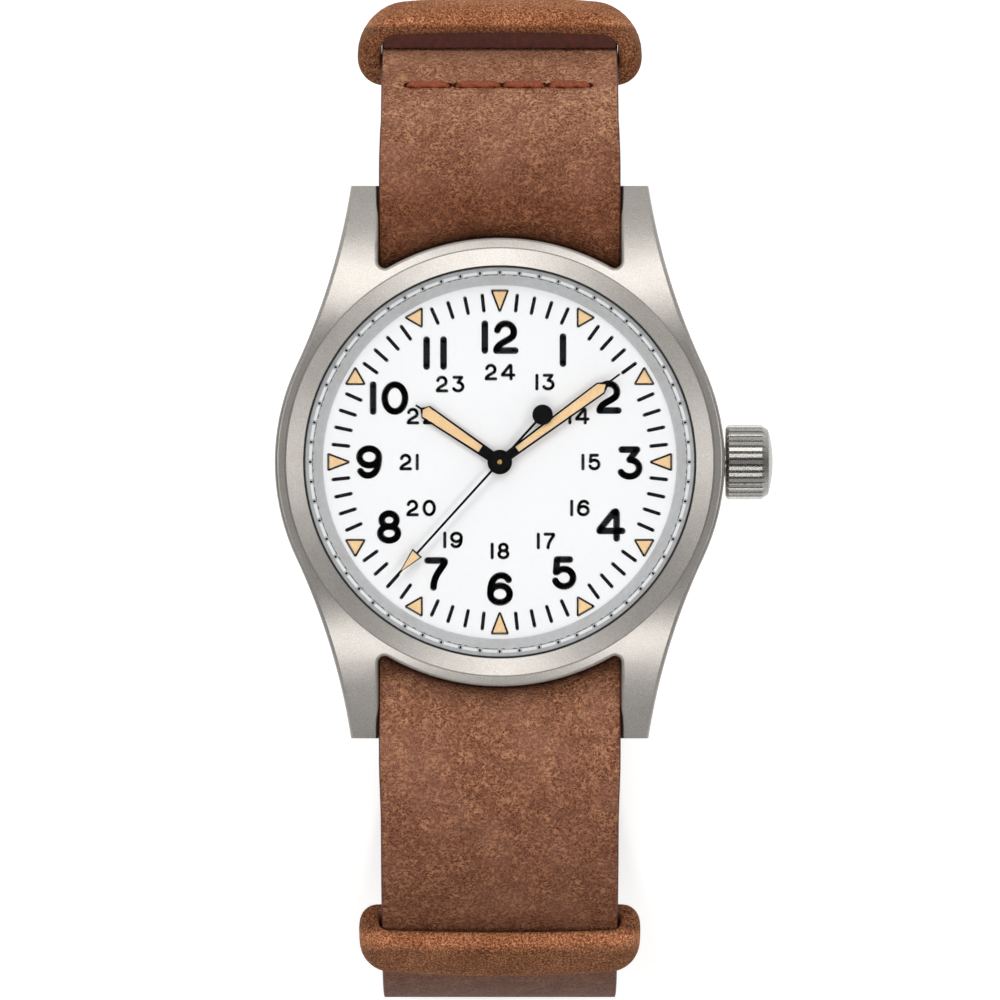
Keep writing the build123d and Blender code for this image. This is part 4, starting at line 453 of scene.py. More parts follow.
two_foot = curve((0.59, 0.51), (0.40, 0.34), (0.02, 0.26), (0.0, 0.0))
four_bend = curve((0.0, 0.28), (0.0, 0.33), (0.03, 0.36), (0.06, 0.40), 5)
four_leg = [(0.53, 0.98), (0.60, 1.0), (0.63, 0.94), (0.63, 0.0)]
six_back = curve((0.0, 0.33), (0.0, 0.72), (0.12, 1.0), (0.41, 1.0))
six_tip = curve((0.41, 1.0), (0.53, 1.0), (0.62, 0.94), (0.68, 0.84))
seven_bend = curve((0.57, 1.0), (0.66, 1.0), (0.64, 0.92), (0.61, 0.87), 5)
seven_leg = curve((0.61, 0.87), (0.45, 0.62), (0.23, 0.40), (0.22, 0.0))
six = [six_back + six_tip, arc(0.36, 0.31, 0.36, 0.31, 0, 360, 36)]
digits = {
    "0": (0.76, [arc(0.38, 0.5, 0.38, 0.5, 0, 360, 44)]),
    "1": (0.0, [[(0.0, 0.0), (0.0, 1.0)]]),
    "2": (0.70, [arc(0.34, 0.69, 0.31, 0.31, 168, -36) + two_foot + [(0.70, 0.0)]]),
    "3": (0.69, [[(0.04, 1.0), (0.61, 1.0), (0.33, 0.62)] + arc(0.33, 0.31, 0.36, 0.31, 88, -152)]),
    "4": (0.84, [[(0.84, 0.28), (0.0, 0.28)] + four_bend + four_leg]),
    "5": (0.68, [[(0.56, 1.0), (0.085, 1.0), (0.045, 0.53)] + arc(0.34, 0.322, 0.34, 0.322, 138, -160, 26)]),
    "6": (0.72, six),
    "7": (0.63, [[(0.0, 1.0), (0.57, 1.0)] + seven_bend + seven_leg]),
    "8": (0.66, [arc(0.33, 0.755, 0.275, 0.245, 0, 360, 32), arc(0.33, 0.262, 0.33, 0.262, 0, 360, 36)]),
    "9": (0.72, [[(0.72 - x, 1 - y) for x, y in path] for path in six]),
}
print("digits:", "".join(digits))

# %% [markdown]
# ## The printing pen
# The pen follows a path and leaves a flat ribbon with round ends. Walking along the left side,
# round the end, and back along the right side would cross itself at tight corners. A safer way is
# to lay one small bar per step and one disc per point: together they fill the same shape.

# %% Pen
ink_height = 0.02
dial_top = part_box("dial")[1].z / mm - head_z


def joined(parts):
    """The points and faces of several parts as one."""
    points = []
    faces = []
    for part_points, part_faces in parts:
        base = len(points)
        points += part_points
        faces += [tuple(base + corner for corner in face) for face in part_faces]
    return points, faces


def ink_ribbon(path, width, proud=ink_height):
    """The points and faces of a raised ribbon of ink along a path of (x, y) in millimetres."""
    outlines = []
    for (x0, y0), (x1, y1) in zip(path, path[1:]):
        length = sqrt((x1 - x0) ** 2 + (y1 - y0) ** 2)
        if length > 1e-6:
            dx, dy = -(y1 - y0) / length * width / 2, (x1 - x0) / length * width / 2
            outlines.append([(x0 + dx, y0 + dy), (x0 - dx, y0 - dy), (x1 - dx, y1 - dy), (x1 + dx, y1 + dy)])
    for x, y in path:
        turns = [radians(a) for a in range(0, 360, 20)]
        outlines.append([(x + width / 2 * cos(turn), y + width / 2 * sin(turn)) for turn in turns])
    prisms = []
    for outline in outlines:
        count = len(outline)
        points = [at(x, y, dial_top + lift) for lift in (proud, -ink_height) for x, y in outline]
        sides = [(k, count + k, count + (k + 1) % count, (k + 1) % count) for k in range(count)]
        prisms.append((points, [tuple(range(count))] + sides))
    return joined(prisms)


def printed(name, ribbons):
    """One piece of ink from several ribbons, riding with the dial."""
    piece = mesh_piece(name, *joined(ribbons), ink, smooth=False)
    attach(piece, "case")


# %% [markdown]
# ## Numerals
# The hours stand upright, 2.8 mm tall, and the afternoon hours inside them are half as tall and
# drawn with a finer pen. Each number is centred on the place where it stands on the real dial.

# %% Numerals
dial_px = 11.8
centre_column, centre_row = 499.75, 462
hour_places = {
    "12": (500, 337), "1": (563, 350), "2": (609, 397), "3": (630, 463), "4": (611, 525), "5": (564, 573),
    "6": (500, 589), "7": (436, 574), "8": (389, 527), "9": (369, 462), "10": (389, 398), "11": (435, 353),
}
late_places = {
    "24": (500, 372), "13": (545, 382), "14": (579, 416), "15": (591, 462), "16": (580, 508), "17": (546, 541),
    "18": (500, 551), "19": (453, 540), "20": (421, 508), "21": (409, 462), "22": (421, 416), "23": (450, 384),
}


def number_ribbons(text, x, y, height, width, gap):
    """The ink of a number centred on a place."""
    tall = height - width
    spaces = [0.63 if pair == "11" else gap for pair in (text[k : k + 2] for k in range(len(text) - 1))]
    total = sum(digits[c][0] for c in text) + sum(spaces)
    pen_x = x - total * tall / 2
    ribbons = []
    for c, space in zip(text, spaces + [0]):
        for path in digits[c][1]:
            placed = [(pen_x + px * tall, y - tall / 2 + py * tall) for px, py in path]
            ribbons.append(ink_ribbon(placed, width))
        pen_x += (digits[c][0] + space) * tall
    return ribbons


for name, places, height, width, gap in (
    ("hour_numerals", hour_places, 2.85, 0.57, 0.43),
    ("afternoon_numerals", late_places, 1.42, 0.27, 0.5),
):
    ribbons = []
    for text, (column, row) in places.items():
        x, y = (column - centre_column) / dial_px, (centre_row - row) / dial_px
        ribbons += number_ribbons(text, x, y, height, width, gap)
    printed(name, ribbons)
    print(name, "ribbons of ink:", len(ribbons))

# %% [markdown]
# ## Minute ticks and hour marks
# Between the hours stand four ticks each. At every hour a small triangle of luminous paste points
# to the centre, inside a thin black frame. The four quarter marks are taller.

# %% Ticks and triangles
def polar(radius, clockwise):
    """A place on the dial by distance and clockwise angle from 12, in millimetres."""
    return radius * sin(radians(clockwise)), radius * cos(radians(clockwise))


tick_in, tick_out, tick_width = 12.9, 14.2, 0.3
tick_turns = [6 * minute for minute in range(60) if minute % 5]
printed("minute_ticks", [ink_ribbon([polar(tick_in, t), polar(tick_out, t)], tick_width) for t in tick_turns])

frame_width = 0.27
paste_height = 0.05
frames = []
pastes = []
for hour in range(12):
    turn = 30 * hour
    base_r, tip_r, half = (14.5, 12.87, 0.62) if hour % 3 == 0 else (14.56, 13.32, 0.72)
    corners = []
    for radius, side in ((base_r, -half), (base_r, half), (tip_r, 0)):
        x, y = polar(radius, turn)
        corners.append((x + side * cos(radians(turn)), y - side * sin(radians(turn))))
    frames.append(ink_ribbon(corners + corners[:1], frame_width, ink_height * 1.5))
    mid_x, mid_y = sum(x for x, y in corners) / 3, sum(y for x, y in corners) / 3
    heap = [
        at(mid_x + (x - mid_x) * shrink, mid_y + (y - mid_y) * shrink, dial_top + paste_height * level)
        for shrink, level in ((1.0, 0.0), (0.9, 0.7), (0.55, 1.0))
        for x, y in corners
    ]
    slopes = [(s + k, s + (k + 1) % 3, s + (k + 1) % 3 + 3, s + k + 3) for s in (0, 3) for k in range(3)]
    pastes.append((heap, slopes + [(6, 7, 8)]))
printed("triangle_frames", frames)
marks = mesh_piece("hour_marks", *joined(pastes), paste)
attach(marks, "case")
print("ticks", len(tick_turns), "triangles", len(frames))

# %% [markdown]
# ## The track on the ring
# The ring that slopes up from the dial to the glass carries a fine track: a white dash for each
# minute and a small dark dot between two dashes. A flat pale lip lies round the slope, and a thin
# dark line of painted shade runs inside its edge. All are short arcs at the height of the cone through the
# ring's two rims.

# %% Ring track
ring_top_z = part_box("dial_flange")[1].z / mm - head_z
slope_in, slope_out = 15.0, 15.95
lip_in, lip_out, lip_z = 15.88, 16.44, 7.355
shade_in, shade_out = 15.78, 15.86
track_in, track_out, track_lift = 15.92, 16.15, 0.015
paint_height = 0.02


def on_ring(radius, clockwise, proud):
    """A place just over the sloping ring, or over the flat lip round it."""
    x, y = polar(radius, clockwise)
    slope_z = dial_top + (radius - slope_in) * (ring_top_z - dial_top) / (slope_out - slope_in)
    return at(x, y, (lip_z if radius >= lip_in else slope_z) + proud)


def track_piece(name, finish, start, end, inner, outer, marks=60, steps=6):
    """Short arcs all round the ring, each from start to end in degrees."""
    profile = ((inner, 0.0), (inner, paint_height), (outer, paint_height), (outer, 0.0))
    arcs = []
    for mark in range(marks):
        turns = [360 * mark / marks + start + (end - start) * k / steps for k in range(steps + 1)]
        points = [on_ring(radius, turn, proud) for turn in turns for radius, proud in profile]
        faces = [(a, a + 1, a + 5, a + 4) for k in range(steps) for a in range(4 * k, 4 * k + 3)]
        last = 4 * steps
        arcs.append((points, faces + [(0, 1, 2, 3), (last + 3, last + 2, last + 1, last)]))
    piece = mesh_piece(name, *joined(arcs), finish, smooth=False)
    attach(piece, "case")
    return piece


track_piece("ring_lip", grey_ring, 0, 90, lip_in, lip_out, 4, 48)
# Painted shade: a thin dark ring just inside the pale lip.
track_piece("ring_shade", rubber, 0, 90, shade_in, shade_out, 4, 48)
for name, finish, start, end in (("track_dashes", dial_white, 0.8, 5.2), ("track_dots", ink, -0.3, 0.3)):
    track_piece(name, finish, start, end, track_in, track_out).location.z += track_lift * mm
print("ring top at", round(ring_top_z, 2), "mm")

# %% [markdown]
# ## The strap's path
# The strap is one long piece of leather. It starts folded round the buckle's bar, climbs over the
# 12 o'clock bar, runs behind the case, and goes over the 6 o'clock bar down to its holed tail. Its
# middle line is a chain of straight runs and arcs in one plane, so a list of (length, 0) and
# (radius, turn) says it all. The same numbers shaped the CAD solid.

# %% Path helpers
def towards(heading):
    """A unit step in the strap's plane, as (y, z): 0 degrees is +Y and 90 is +Z."""
    return Vector((cos(radians(heading)), sin(radians(heading))))


def trace(point, heading, steps):
    """The corners of a path: (point, heading, step) for each step and the end."""
    legs = []
    for size, turn in steps:
        legs.append((point, heading, (size, turn)))
        if turn == 0:
            point = point + size * towards(heading)
        else:
            side = heading + (90 if turn > 0 else -90)
            hub = point + size * towards(side)
            heading = heading + turn
            point = hub + size * towards(side + 180 + turn)
    legs.append((point, heading, (0, 0)))
    return legs


def leg_length(size, turn):
    """How long a straight run or an arc is."""
    return size if turn == 0 else size * abs(radians(turn))


def part_way(leg, part):
    """The place and heading part of the way along a leg."""
    point, heading, (size, turn) = leg
    if part == 0:
        return point, heading
    return trace(point, heading, [(size * part, 0)] if turn == 0 else [(size, turn * part)])[-1][:2]


def stations(legs, spacing):
    """Places and headings along a path, at most spacing apart and at most 6 degrees of turn apart."""
    found = []
    for leg in legs[:-1]:
        size, turn = leg[2]
        count = max(1, ceil(leg_length(size, turn) / spacing), ceil(abs(turn) / 6))
        found += [part_way(leg, k / count) for k in range(count)]
    return found + [legs[-1][:2]]


def run_length(legs):
    """How long a path is."""
    return sum(leg_length(*step) for _, _, step in legs)


def corner_angle(near, far, opposite):
    """The angle between two sides of a triangle, in degrees."""
    return degrees(acos((near ** 2 + far ** 2 - opposite ** 2) / (2 * near * far)))


# %% Path of the long strap
thick = 1.3
strap_width = 20.3
layer = thick + 0.05
bar_y, bar_z, bar_r = 21.6, 2.2, 0.75
clear = 0.1
wrap_r = bar_r + clear + thick / 2
behind_z = -(clear + thick / 2)
bend_r = 1.5
behind_run = bar_y - wrap_r - bend_r
climb = bar_z - behind_z - bend_r
upper_tilt, upper_r = 12.0, 18.3
lower_tilt, lower_r = 4.0, 26.2
hang_run, curl_turn, buckle_side = 10.0, 60.0, 62.0
drop_run, foot_r, tail_length = 20.0, 20.0, 132.0
fold_r = 0.8 + clear + thick / 2
curl_r = (buckle_side - upper_r * radians(90 - upper_tilt) - hang_run) / radians(curl_turn)
close_r = 5.0
bar_to_hub = curl_r - fold_r
close_to_hub = curl_r - layer - close_r
bar_to_close = fold_r + close_r
fold_past = corner_angle(bar_to_close, bar_to_hub, close_to_hub)
fold_start = corner_angle(bar_to_hub, close_to_hub, bar_to_close)
fold_back = 19.0
foot_run = tail_length - lower_r * radians(90 - lower_tilt) - drop_run - foot_r * pi / 2

upper_steps = [
    (behind_run, 0), (bend_r, 90), (climb, 0), (wrap_r, -(90 + upper_tilt)),
    (upper_r, -(90 - upper_tilt)), (hang_run, 0), (curl_r, -curl_turn),
]
fold_steps = [(fold_r, -(180 + fold_past)), (close_r, fold_past + fold_start), (curl_r - layer, fold_back)]
lower_steps = [
    (behind_run, 0), (bend_r, -90), (climb, 0), (wrap_r, 90 + lower_tilt),
    (lower_r, 90 - lower_tilt), (drop_run, 0), (foot_r, 90), (foot_run, 0),
]
middle = Vector((0, behind_z))
upper_legs = trace(middle, 0, upper_steps)
fold_legs = trace(upper_legs[-1][0], upper_legs[-1][1], fold_steps)
lower_legs = trace(middle, 180, lower_steps)
upper_hub = upper_legs[4][0] + upper_r * towards(upper_legs[4][1] - 90)
lower_hub = lower_legs[4][0] + lower_r * towards(lower_legs[4][1] + 90)
buckle_at = upper_legs[-1][0] + fold_r * towards(upper_legs[-1][1] - 90)
strap_length = sum(run_length(legs) for legs in (upper_legs, fold_legs, lower_legs))
print("the long strap is", round(strap_length, 1), "mm")

# %% [markdown]
# ## Leather
# This leather is waxed and rubbed: thin crooked ridges stand out pale over a brown, flecked ground.
# A pale crest is drawn where a soft noise crosses its middle value, in a place that other noises
# have pushed about, and small cells add a finer net. A ramp along the strap paints shade on it
# beside the 12 o'clock bar and towards the tail, as in the photograph. The sides are dyed dark and painted.

# %% Strap leather
hide = Finish("strap_leather", Specular_IOR_Level=0.12)
bent = hide.shaken(hide.place, 1.6, 0.9, 2.0)
across = hide.scaled(hide.shaken(bent, 0.38, 0.42, 1.0), 0.8, 1, 1)
fleck = hide.noise(0.15, 3.0, 0.6)
cloud = hide.noise(4.5, 4.0, 0.55)
bare = hide.noise(1.6, 2.0)
waves = hide.noise(0.36, 1.0, 0.5, across)
off_middle = hide.math("ABSOLUTE", hide.math("SUBTRACT", waves, 0.5))
wide_net = hide.level(off_middle, 0.0, 0.1, 1.0, 0.0)
scales = hide.node("ShaderNodeTexVoronoi", {"Scale": 1 / (0.25 * mm), "Randomness": 1.0, "Vector": across})
scales.feature = "DISTANCE_TO_EDGE"
fine_net = hide.level(scales.outputs["Distance"], 0.0, 0.2, 1.0, 0.0)
wide_share = hide.math("MULTIPLY", wide_net, hide.level(bare, 0.3, 0.65, 0.35, 0.95))
fine_share = hide.level(fine_net, 0.0, 1.0, 0.0, 0.45)
ground = hide.toned(fleck, (88, 42, 29), (121, 70, 52), (152, 99, 77))
pale = hide.mixed(hide.level(cloud, 0.45, 0.68, 0.0, 0.6), ground, linear(164, 116, 100))
rubbed = hide.mixed(wide_share, pale, linear(220, 166, 127))
waxed = hide.mixed(fine_share, rubbed, linear(200, 146, 108))
# Painted shade along the strap: darker beside the 12 o'clock bar and towards the tail, a little lighter past
# the bar.
strap_painted_shade = hide.ramp(
    hide.level(hide.lengthwise(hide.place), -50 * mm, 45 * mm),
    (0.05, (0.34, 0.29, 0.27, 1)),
    (0.14, (0.56, 0.48, 0.45, 1)),
    (0.3, (0.86, 0.8, 0.78, 1)),
    (0.5, (0.86, 0.8, 0.78, 1)),
    (0.755, (0.5, 0.38, 0.31, 1)),
    (0.84, (1.0, 0.99, 1.0, 1)),
)
hide.surface(
    hide.mixed(1.0, waxed, strap_painted_shade, "MULTIPLY"),
    (fleck, 0.7, 0.58),
    (wide_net, 0.05),
    (fine_net, 0.03),
    (fleck, 0.03),
)

dyed = [(60, 28, 22), (86, 42, 33)]
painted_edge = grained("painted_edge", 0.5, 3.0, (0.4, 0.55), dyed, 0.03, Specular_IOR_Level=0.12)
raw_back = Finish("leather_back", Specular_IOR_Level=0.1, Sheen_Weight=0.3, Sheen_Roughness=0.6)
fibre = raw_back.noise(0.18, 4.0, 0.65)
flesh = raw_back.toned(fibre, (120, 76, 50), (166, 116, 80))
raw_back.surface(
    raw_back.clouded(flesh, raw_back.noise(4.0, 3.0), (225, 220, 216)),
    (fibre, 0.8, 0.95),
    (fibre, 0.05),
)
print("leather finishes ready")

# %% [markdown]
# ## Leather strips
# A strip is a band of even thickness with rounded, painted sides. Its section is drawn once, flat
# across both faces and rounded at the sides, and carried along the path. Grain side, flesh side
# and painted sides are different finishes, so each face of the mesh remembers which it is. Between
# a spring bar and the head the leather is pressed against the round case, and swells to fit it.

# %% Strip maker
edge_round = 0.12
section_steps = 12
edge_steps = 5
case_round = 19.2


def section(half, half_thick):
    """The outline of a strip's section as (across, out, finish number)."""
    flat = half - edge_round
    outline = []
    for side, finish in ((1, 0), (-1, 2)):
        for k in range(section_steps):
            outline.append((side * flat * (2 * k / section_steps - 1), side * half_thick, finish))
        for k in range(2 * edge_steps):
            turn = radians(90 - 180 * k / (2 * edge_steps))
            outline.append((side * (flat + edge_round * cos(turn)), side * half_thick * sin(turn), 1))
    return outline


def nestled(x, y, z):
    """Leather between a bar and the head swells until it fits the round case."""
    far = bar_y - abs(y)
    if not 0 < far < 4 or not 0 < z < bar_z + 3:
        return at(x, y, z)
    near = min(1.0, far / (wrap_r + thick / 2)) * min(1.0, z / 0.8)
    gap = bar_y - wrap_r - thick / 2 - sqrt(case_round ** 2 - x ** 2)
    return at(x, y - near * gap * (1 if y > 0 else -1), z)


def skin(rings, sides, first=0, closed=False):
    """Faces between neighbouring rings of points, and from the last to the first of a closed row."""
    faces = []
    for ring in range(rings if closed else rings - 1):
        low, high = first + ring * sides, first + (ring + 1) % rings * sides
        faces += [(low + k, low + (k + 1) % sides, high + (k + 1) % sides, high + k) for k in range(sides)]
    return faces


def fix_normals(piece):
    """Turn all faces outwards."""
    work = bmesh.new()
    work.from_mesh(piece.data)
    bmesh.ops.recalc_face_normals(work, faces=work.faces)
    work.to_mesh(piece.data)
    work.free()


def strip(name, places, widths):
    """A strip through places of (point, direction of its grain side), with a width at each."""
    kinds = [kind for _, _, kind in section(strap_width / 2, thick / 2)]
    count = len(kinds)
    points = []
    for (point, out), width in zip(places, widths):
        squeeze = min(1.0, width / 2 / (2 * edge_round))
        for across, lift, _ in section(max(width / 2, edge_round * 1.01), thick / 2 * squeeze):
            place = point + lift * out
            points.append(nestled(across, place.x, place.y))
    ends = [tuple(reversed(range(count))), tuple(range(len(points) - count, len(points)))]
    piece = mesh_piece(name, points, skin(len(places), count) + ends, hide, painted_edge, raw_back)
    piece.data.polygons.foreach_set("material_index", kinds * (len(places) - 1) + [1, 1])
    fix_normals(piece)
    return piece


# %% [markdown]
# ## Cutting holes
# The strap's holes are punched, so they are cut here too: a Boolean modifier takes a set of cutters
# away, and its result is kept as the mesh. The walls of each hole take the painted finish.

# %% Cutter
def capsule(start, end, radius, sides=16, rings=4):
    """The points and faces of a bar with round ends between two places in metres."""
    line = (end - start).normalized()
    first_side = line.orthogonal().normalized()
    second_side = line.cross(first_side)
    profile = []
    for k in range(1, 2 * rings):
        turn = -pi / 2 + pi * k / (2 * rings)
        if k == rings:
            profile.append((start, radius))
        profile.append(((start if k <= rings else end) + line * radius * sin(turn), radius * cos(turn)))
    points = [start - line * radius]
    for centre, r in profile:
        for s in range(sides):
            turn = 2 * pi * s / sides
            points.append(centre + (first_side * cos(turn) + second_side * sin(turn)) * r)
    points.append(end + line * radius)
    faces = []
    last = len(points) - 1
    for s in range(sides):
        after = (s + 1) % sides
        faces.append((0, 1 + after, 1 + s))
        faces.append((last, last - sides + s, last - sides + after))
    return points, faces + skin(len(profile), sides, 1)


def cut(piece, cutters):
    """Take (points, faces) cutters away from a piece and keep the result."""
    tool = mesh_piece("cutter", *joined(cutters), painted_edge)
    fix_normals(tool)
    modifier = piece.modifiers.new("cut", "BOOLEAN")
    modifier.operation = "DIFFERENCE"
    modifier.object = tool
    modifier.solver = "EXACT"
    modifier.use_self = True
    modifier.material_mode = "TRANSFER"
    result = bpy.data.meshes.new_from_object(piece.evaluated_get(bpy.context.evaluated_depsgraph_get()))
    piece.modifiers.clear()
    piece.data = result
    bpy.data.objects.remove(tool)
    print(piece.name, "after", len(cutters), "cuts:", len(result.polygons), "faces")


# %% [markdown]
# ## The long strap
# The path runs from the folded end to the tail. Its grain side is the outer one everywhere. The
# last 9 mm narrow to a rounded tip. Nine holes, a slot for the buckle's tongue in the fold, and the
# sunk beds and needle holes of the two seams are cut out of it.

# %% Long strap
spacing = 1.0
tip_long, tip_steps = 9.0, 22
lug_swell, lug_reach, lug_fade = 0.27, 30, 4
back_way = [(point, towards(heading + 90)) for point, heading in stations(upper_legs[:-1] + fold_legs, spacing)]
front_way = [(point, towards(heading - 90)) for point, heading in stations(lower_legs, spacing)]
whole_way = list(reversed(back_way)) + front_way[1:]
travelled = [0.0]
for (before, _), (after, _) in zip(whole_way, whole_way[1:]):
    travelled.append(travelled[-1] + (after - before).length)
strap_places = []
widths = []
for place, distance in zip(whole_way, travelled):
    if distance < travelled[-1] - tip_long:
        strap_places.append(place)
        y, z = place[0]
        lug_share = min(1.0, max(0.0, (lug_reach - abs(y)) / lug_fade)) if z > 0.5 else 0.0
        widths.append(strap_width + lug_swell * lug_share)
end_point, end_out = whole_way[-1]
end_way = towards(lower_legs[-1][1])
for k in range(tip_steps + 1):
    share = sin(radians(88.5 * k / tip_steps))
    strap_places.append((end_point + (share - 1) * tip_long * end_way, end_out))
    widths.append(strap_width * sqrt(1 - share ** 2))
long_strap = strip("long_strap", strap_places, widths)
print("long strap stations:", len(widths))

# %% Seams
seam_tilt = 48.3
stitch_r = 0.29
bed_r, needle_r = 0.38, 0.3
bed_inset, needle_inset = 0.15, 0.02
seam_columns = [(405.5, 449.5), (455, 501), (503, 545), (549, 591)]
stitch_ends = [((a - centre_column) / dial_px, (b - centre_column) / dial_px) for a, b in seam_columns]


def along(legs, distance):
    """The place and heading at a distance along a path."""
    for leg in legs:
        length = leg_length(*leg[2])
        if distance <= length:
            return part_way(leg, distance / length)
        distance -= length
    return legs[-1][:2]


def seam_line(place, x, lift):
    """A place in metres on a seam, at x across the strap and lift over its grain side."""
    point, heading = place
    spot = point + (thick / 2 + lift) * towards(heading + 90)
    return at(x, spot.x, spot.y)


front_seam = (upper_hub + upper_r * towards(90 - seam_tilt), -seam_tilt)
fold_seam = along(upper_legs, run_length(upper_legs) - curl_r * radians(fold_start + fold_back / 2))
beds = []
for place in (front_seam, fold_seam):
    for left, right in stitch_ends:
        bed_ends = [seam_line(place, x, 0.04) for x in (left + bed_inset, right - bed_inset)]
        beds.append(capsule(*bed_ends, bed_r * mm))
        for x in (left + needle_inset, right - needle_inset):
            beds.append(capsule(seam_line(place, x, 0.1), seam_line(place, x, -0.5), needle_r * mm, 12, 3))
print("seam cutters", len(beds))

# %% Holes and slot
hole_count, hole_pitch, hole_r, last_hole = 9, 6.5, 1.0, 25.0
slot_r, slot_half = 7.0, 1.5
punches = []
for number in range(hole_count):
    point, heading = along(lower_legs, run_length(lower_legs) - last_hole - hole_pitch * number)
    reach = 1.5 * towards(heading + 90)
    low, high = point - reach, point + reach
    punches.append(capsule(at(0, low.x, low.y), at(0, high.x, high.y), hole_r * mm, 28, 3))


def slab(points):
    """The points and faces of a slab between two outlines, the first half of its points and the second."""
    count = len(points) // 2
    return points, [tuple(range(count)), tuple(reversed(range(count, 2 * count)))] + skin(2, count)


slot_rim = [buckle_at + slot_r * towards(360 * k / 48) for k in range(48)]
slot_cutter = slab([at(x, y, z) for x in (-slot_half, slot_half) for y, z in slot_rim])
cut(long_strap, beds + punches + [slot_cutter])
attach(long_strap, "case")
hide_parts("main_strap")

# %% [markdown]
# ## The short strap
# A second strip lies under the first, sewn to it past the 12 o'clock bar. It passes behind the case
# and ends in the loop that the long strap is pulled through, which stops the head from sliding off.

# %% Short strap
keeper_band = 5.0
under_end_tilt, part_tilt = 60.0, 45.0
hump_r, dip_r = 3.0, 6.0
lower_keeper_tilt = 53.3
inner_upper = upper_r - layer
start = upper_hub + inner_upper * towards(90 - under_end_tilt)
part = upper_hub + inner_upper * towards(90 - part_tilt)
under_z = behind_z - layer
top_z = part.y + hump_r * (1 - cos(radians(part_tilt)))
dip = degrees(acos(1 - (top_z - under_z) / (hump_r + dip_r)))
hump_end = trace(part, 180 - part_tilt, [(hump_r, part_tilt + dip), (dip_r, -dip)])[-1][0]
spread = (lower_hub.y + lower_r - layer - under_z) / (1 - cos(radians(lower_keeper_tilt)))
join_r = lower_r - layer - spread
join_y = lower_hub.x - spread * sin(radians(lower_keeper_tilt))
under_steps = [
    (inner_upper, under_end_tilt - part_tilt), (hump_r, part_tilt + dip), (dip_r, -dip),
    (hump_end.x - join_y, 0), (join_r, lower_keeper_tilt),
]
under_path = trace(start, 180 - under_end_tilt, under_steps)
keeper_way = towards(lower_keeper_tilt)
stop = lower_hub + lower_r * towards(90 + lower_keeper_tilt) + keeper_band / 2 * keeper_way
under_places = [
    (point, towards(heading - 90))
    for point, heading in stations(under_path, 0.8)
    if (point - stop).dot(keeper_way) > 0.02
]
short_strap = strip("short_strap", under_places, [strap_width] * len(under_places))
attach(short_strap, "case")
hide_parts("under_strap")
print("short strap stations:", len(under_places))

# %% [markdown]
# ## Napped keeper leather
# The two loops are cut from the same hide but worn with the nap up: velvety, sandy, and speckled
# where the fibres lie flat. Dark flecks come from a coarse noise with sharp steps. Each loop gets a
# painted highlight along the crest of its arch and painted shade towards its front and sides, and a
# little sheen gives the soft rim that velvet shows at its edges.

# %% Keeper leather
nap = Finish("keeper_nap", Specular_IOR_Level=0.1, Sheen_Weight=0.12, Sheen_Roughness=0.55)
nap.shader.inputs["Sheen Tint"].default_value = linear(226, 176, 130)
hairs = nap.noise(0.15, 4.0, 0.7)
specks = nap.noise(0.24, 3.0, 0.6)
sandy = nap.ramp(hairs, (0.36, linear(74, 36, 22)), (0.5, linear(132, 82, 54)), (0.64, linear(190, 138, 98)))
speckled = nap.mixed(nap.level(specks, 0.52, 0.66), sandy, linear(84, 42, 28))
nap_y = nap.lengthwise(nap.place)
# Painted light on the loops: painted shade, a painted highlight on the crest of each arch, and the plain tone
# beside it.
nap_painted_shade, nap_painted_highlight, side = [(share, share, share * 1.03, 1) for share in (0.45, 1.0, 0.82)]
on_upper, on_lower = nap.level(nap_y, 36.5 * mm, 39.0 * mm), nap.level(nap_y, -42.5 * mm, -40.0 * mm)
upper_painted_light = nap.ramp(on_upper, (0.34, nap_painted_shade), (0.5, nap_painted_highlight), (0.68, side), (1.0, side))
lower_painted_light = nap.ramp(on_lower, (0.2, nap_painted_shade), (0.45, side), (0.75, nap_painted_highlight), (1.0, nap_painted_shade))
brightened = nap.mixed(1.0, speckled, (2.15, 2.15, 2.15, 1), "MULTIPLY")
# The speckled nap multiplied by the painted highlight and shade of whichever loop it is on.
nap_with_painted_light = nap.mixed(1.0, brightened, nap.mixed(1.0, upper_painted_light, lower_painted_light, "LIGHTEN"), "MULTIPLY")
nap.surface(
    nap.clouded(nap_with_painted_light, nap.noise(3.5, 3.0), (222, 214, 206)),
    (hairs, 0.82, 0.95),
    (hairs, 0.09),
    (specks, 0.05),
)
print("nap ready")

# %% [markdown]
# ## Keepers
# A keeper is a thick strip bent into a loop and sewn shut inside. Its outside is round and full, its
# inside flat. Two rounded loops are drawn, one outside and one inside, with the same number of
# points. Between each pair of points a small swollen section spans the wall and the band's width.
# A dark flap under the upper keeper's arch is partly its sewn overlap and partly a dark sheet of painted shade
# that fills the space under the arch.

# %% Loop maker
def round_loop(wide, high, front_corner, back_corner, crown, per_side=14, per_corner=9):
    """Points of a rounded loop, its front side crowned: (x, y) with y outwards."""
    points = []
    centres = [(1, 1, front_corner, 90), (1, -1, back_corner, 0)]
    centres += [(-1, -1, back_corner, -90), (-1, 1, front_corner, 180)]
    for (sx, sy, corner, start_turn), (nx, ny, next_corner, _) in zip(centres, centres[1:] + centres[:1]):
        hub_x, hub_y = sx * (wide / 2 - corner), sy * (high / 2 - corner)
        for k in range(per_corner):
            turn = radians(start_turn - 90 * k / per_corner)
            points.append((hub_x + corner * cos(turn), hub_y + corner * sin(turn)))
        turn = radians(start_turn - 90)
        x0, y0 = hub_x + corner * cos(turn), hub_y + corner * sin(turn)
        x1 = nx * (wide / 2 - next_corner) + next_corner * cos(turn)
        y1 = ny * (high / 2 - next_corner) + next_corner * sin(turn)
        points += [(x0 + (x1 - x0) * k / per_side, y0 + (y1 - y0) * k / per_side) for k in range(per_side)]
    return [(x, y + crown * max(0.0, y / (high / 2)) * (1 - (2 * x / wide) ** 2)) for x, y in points]


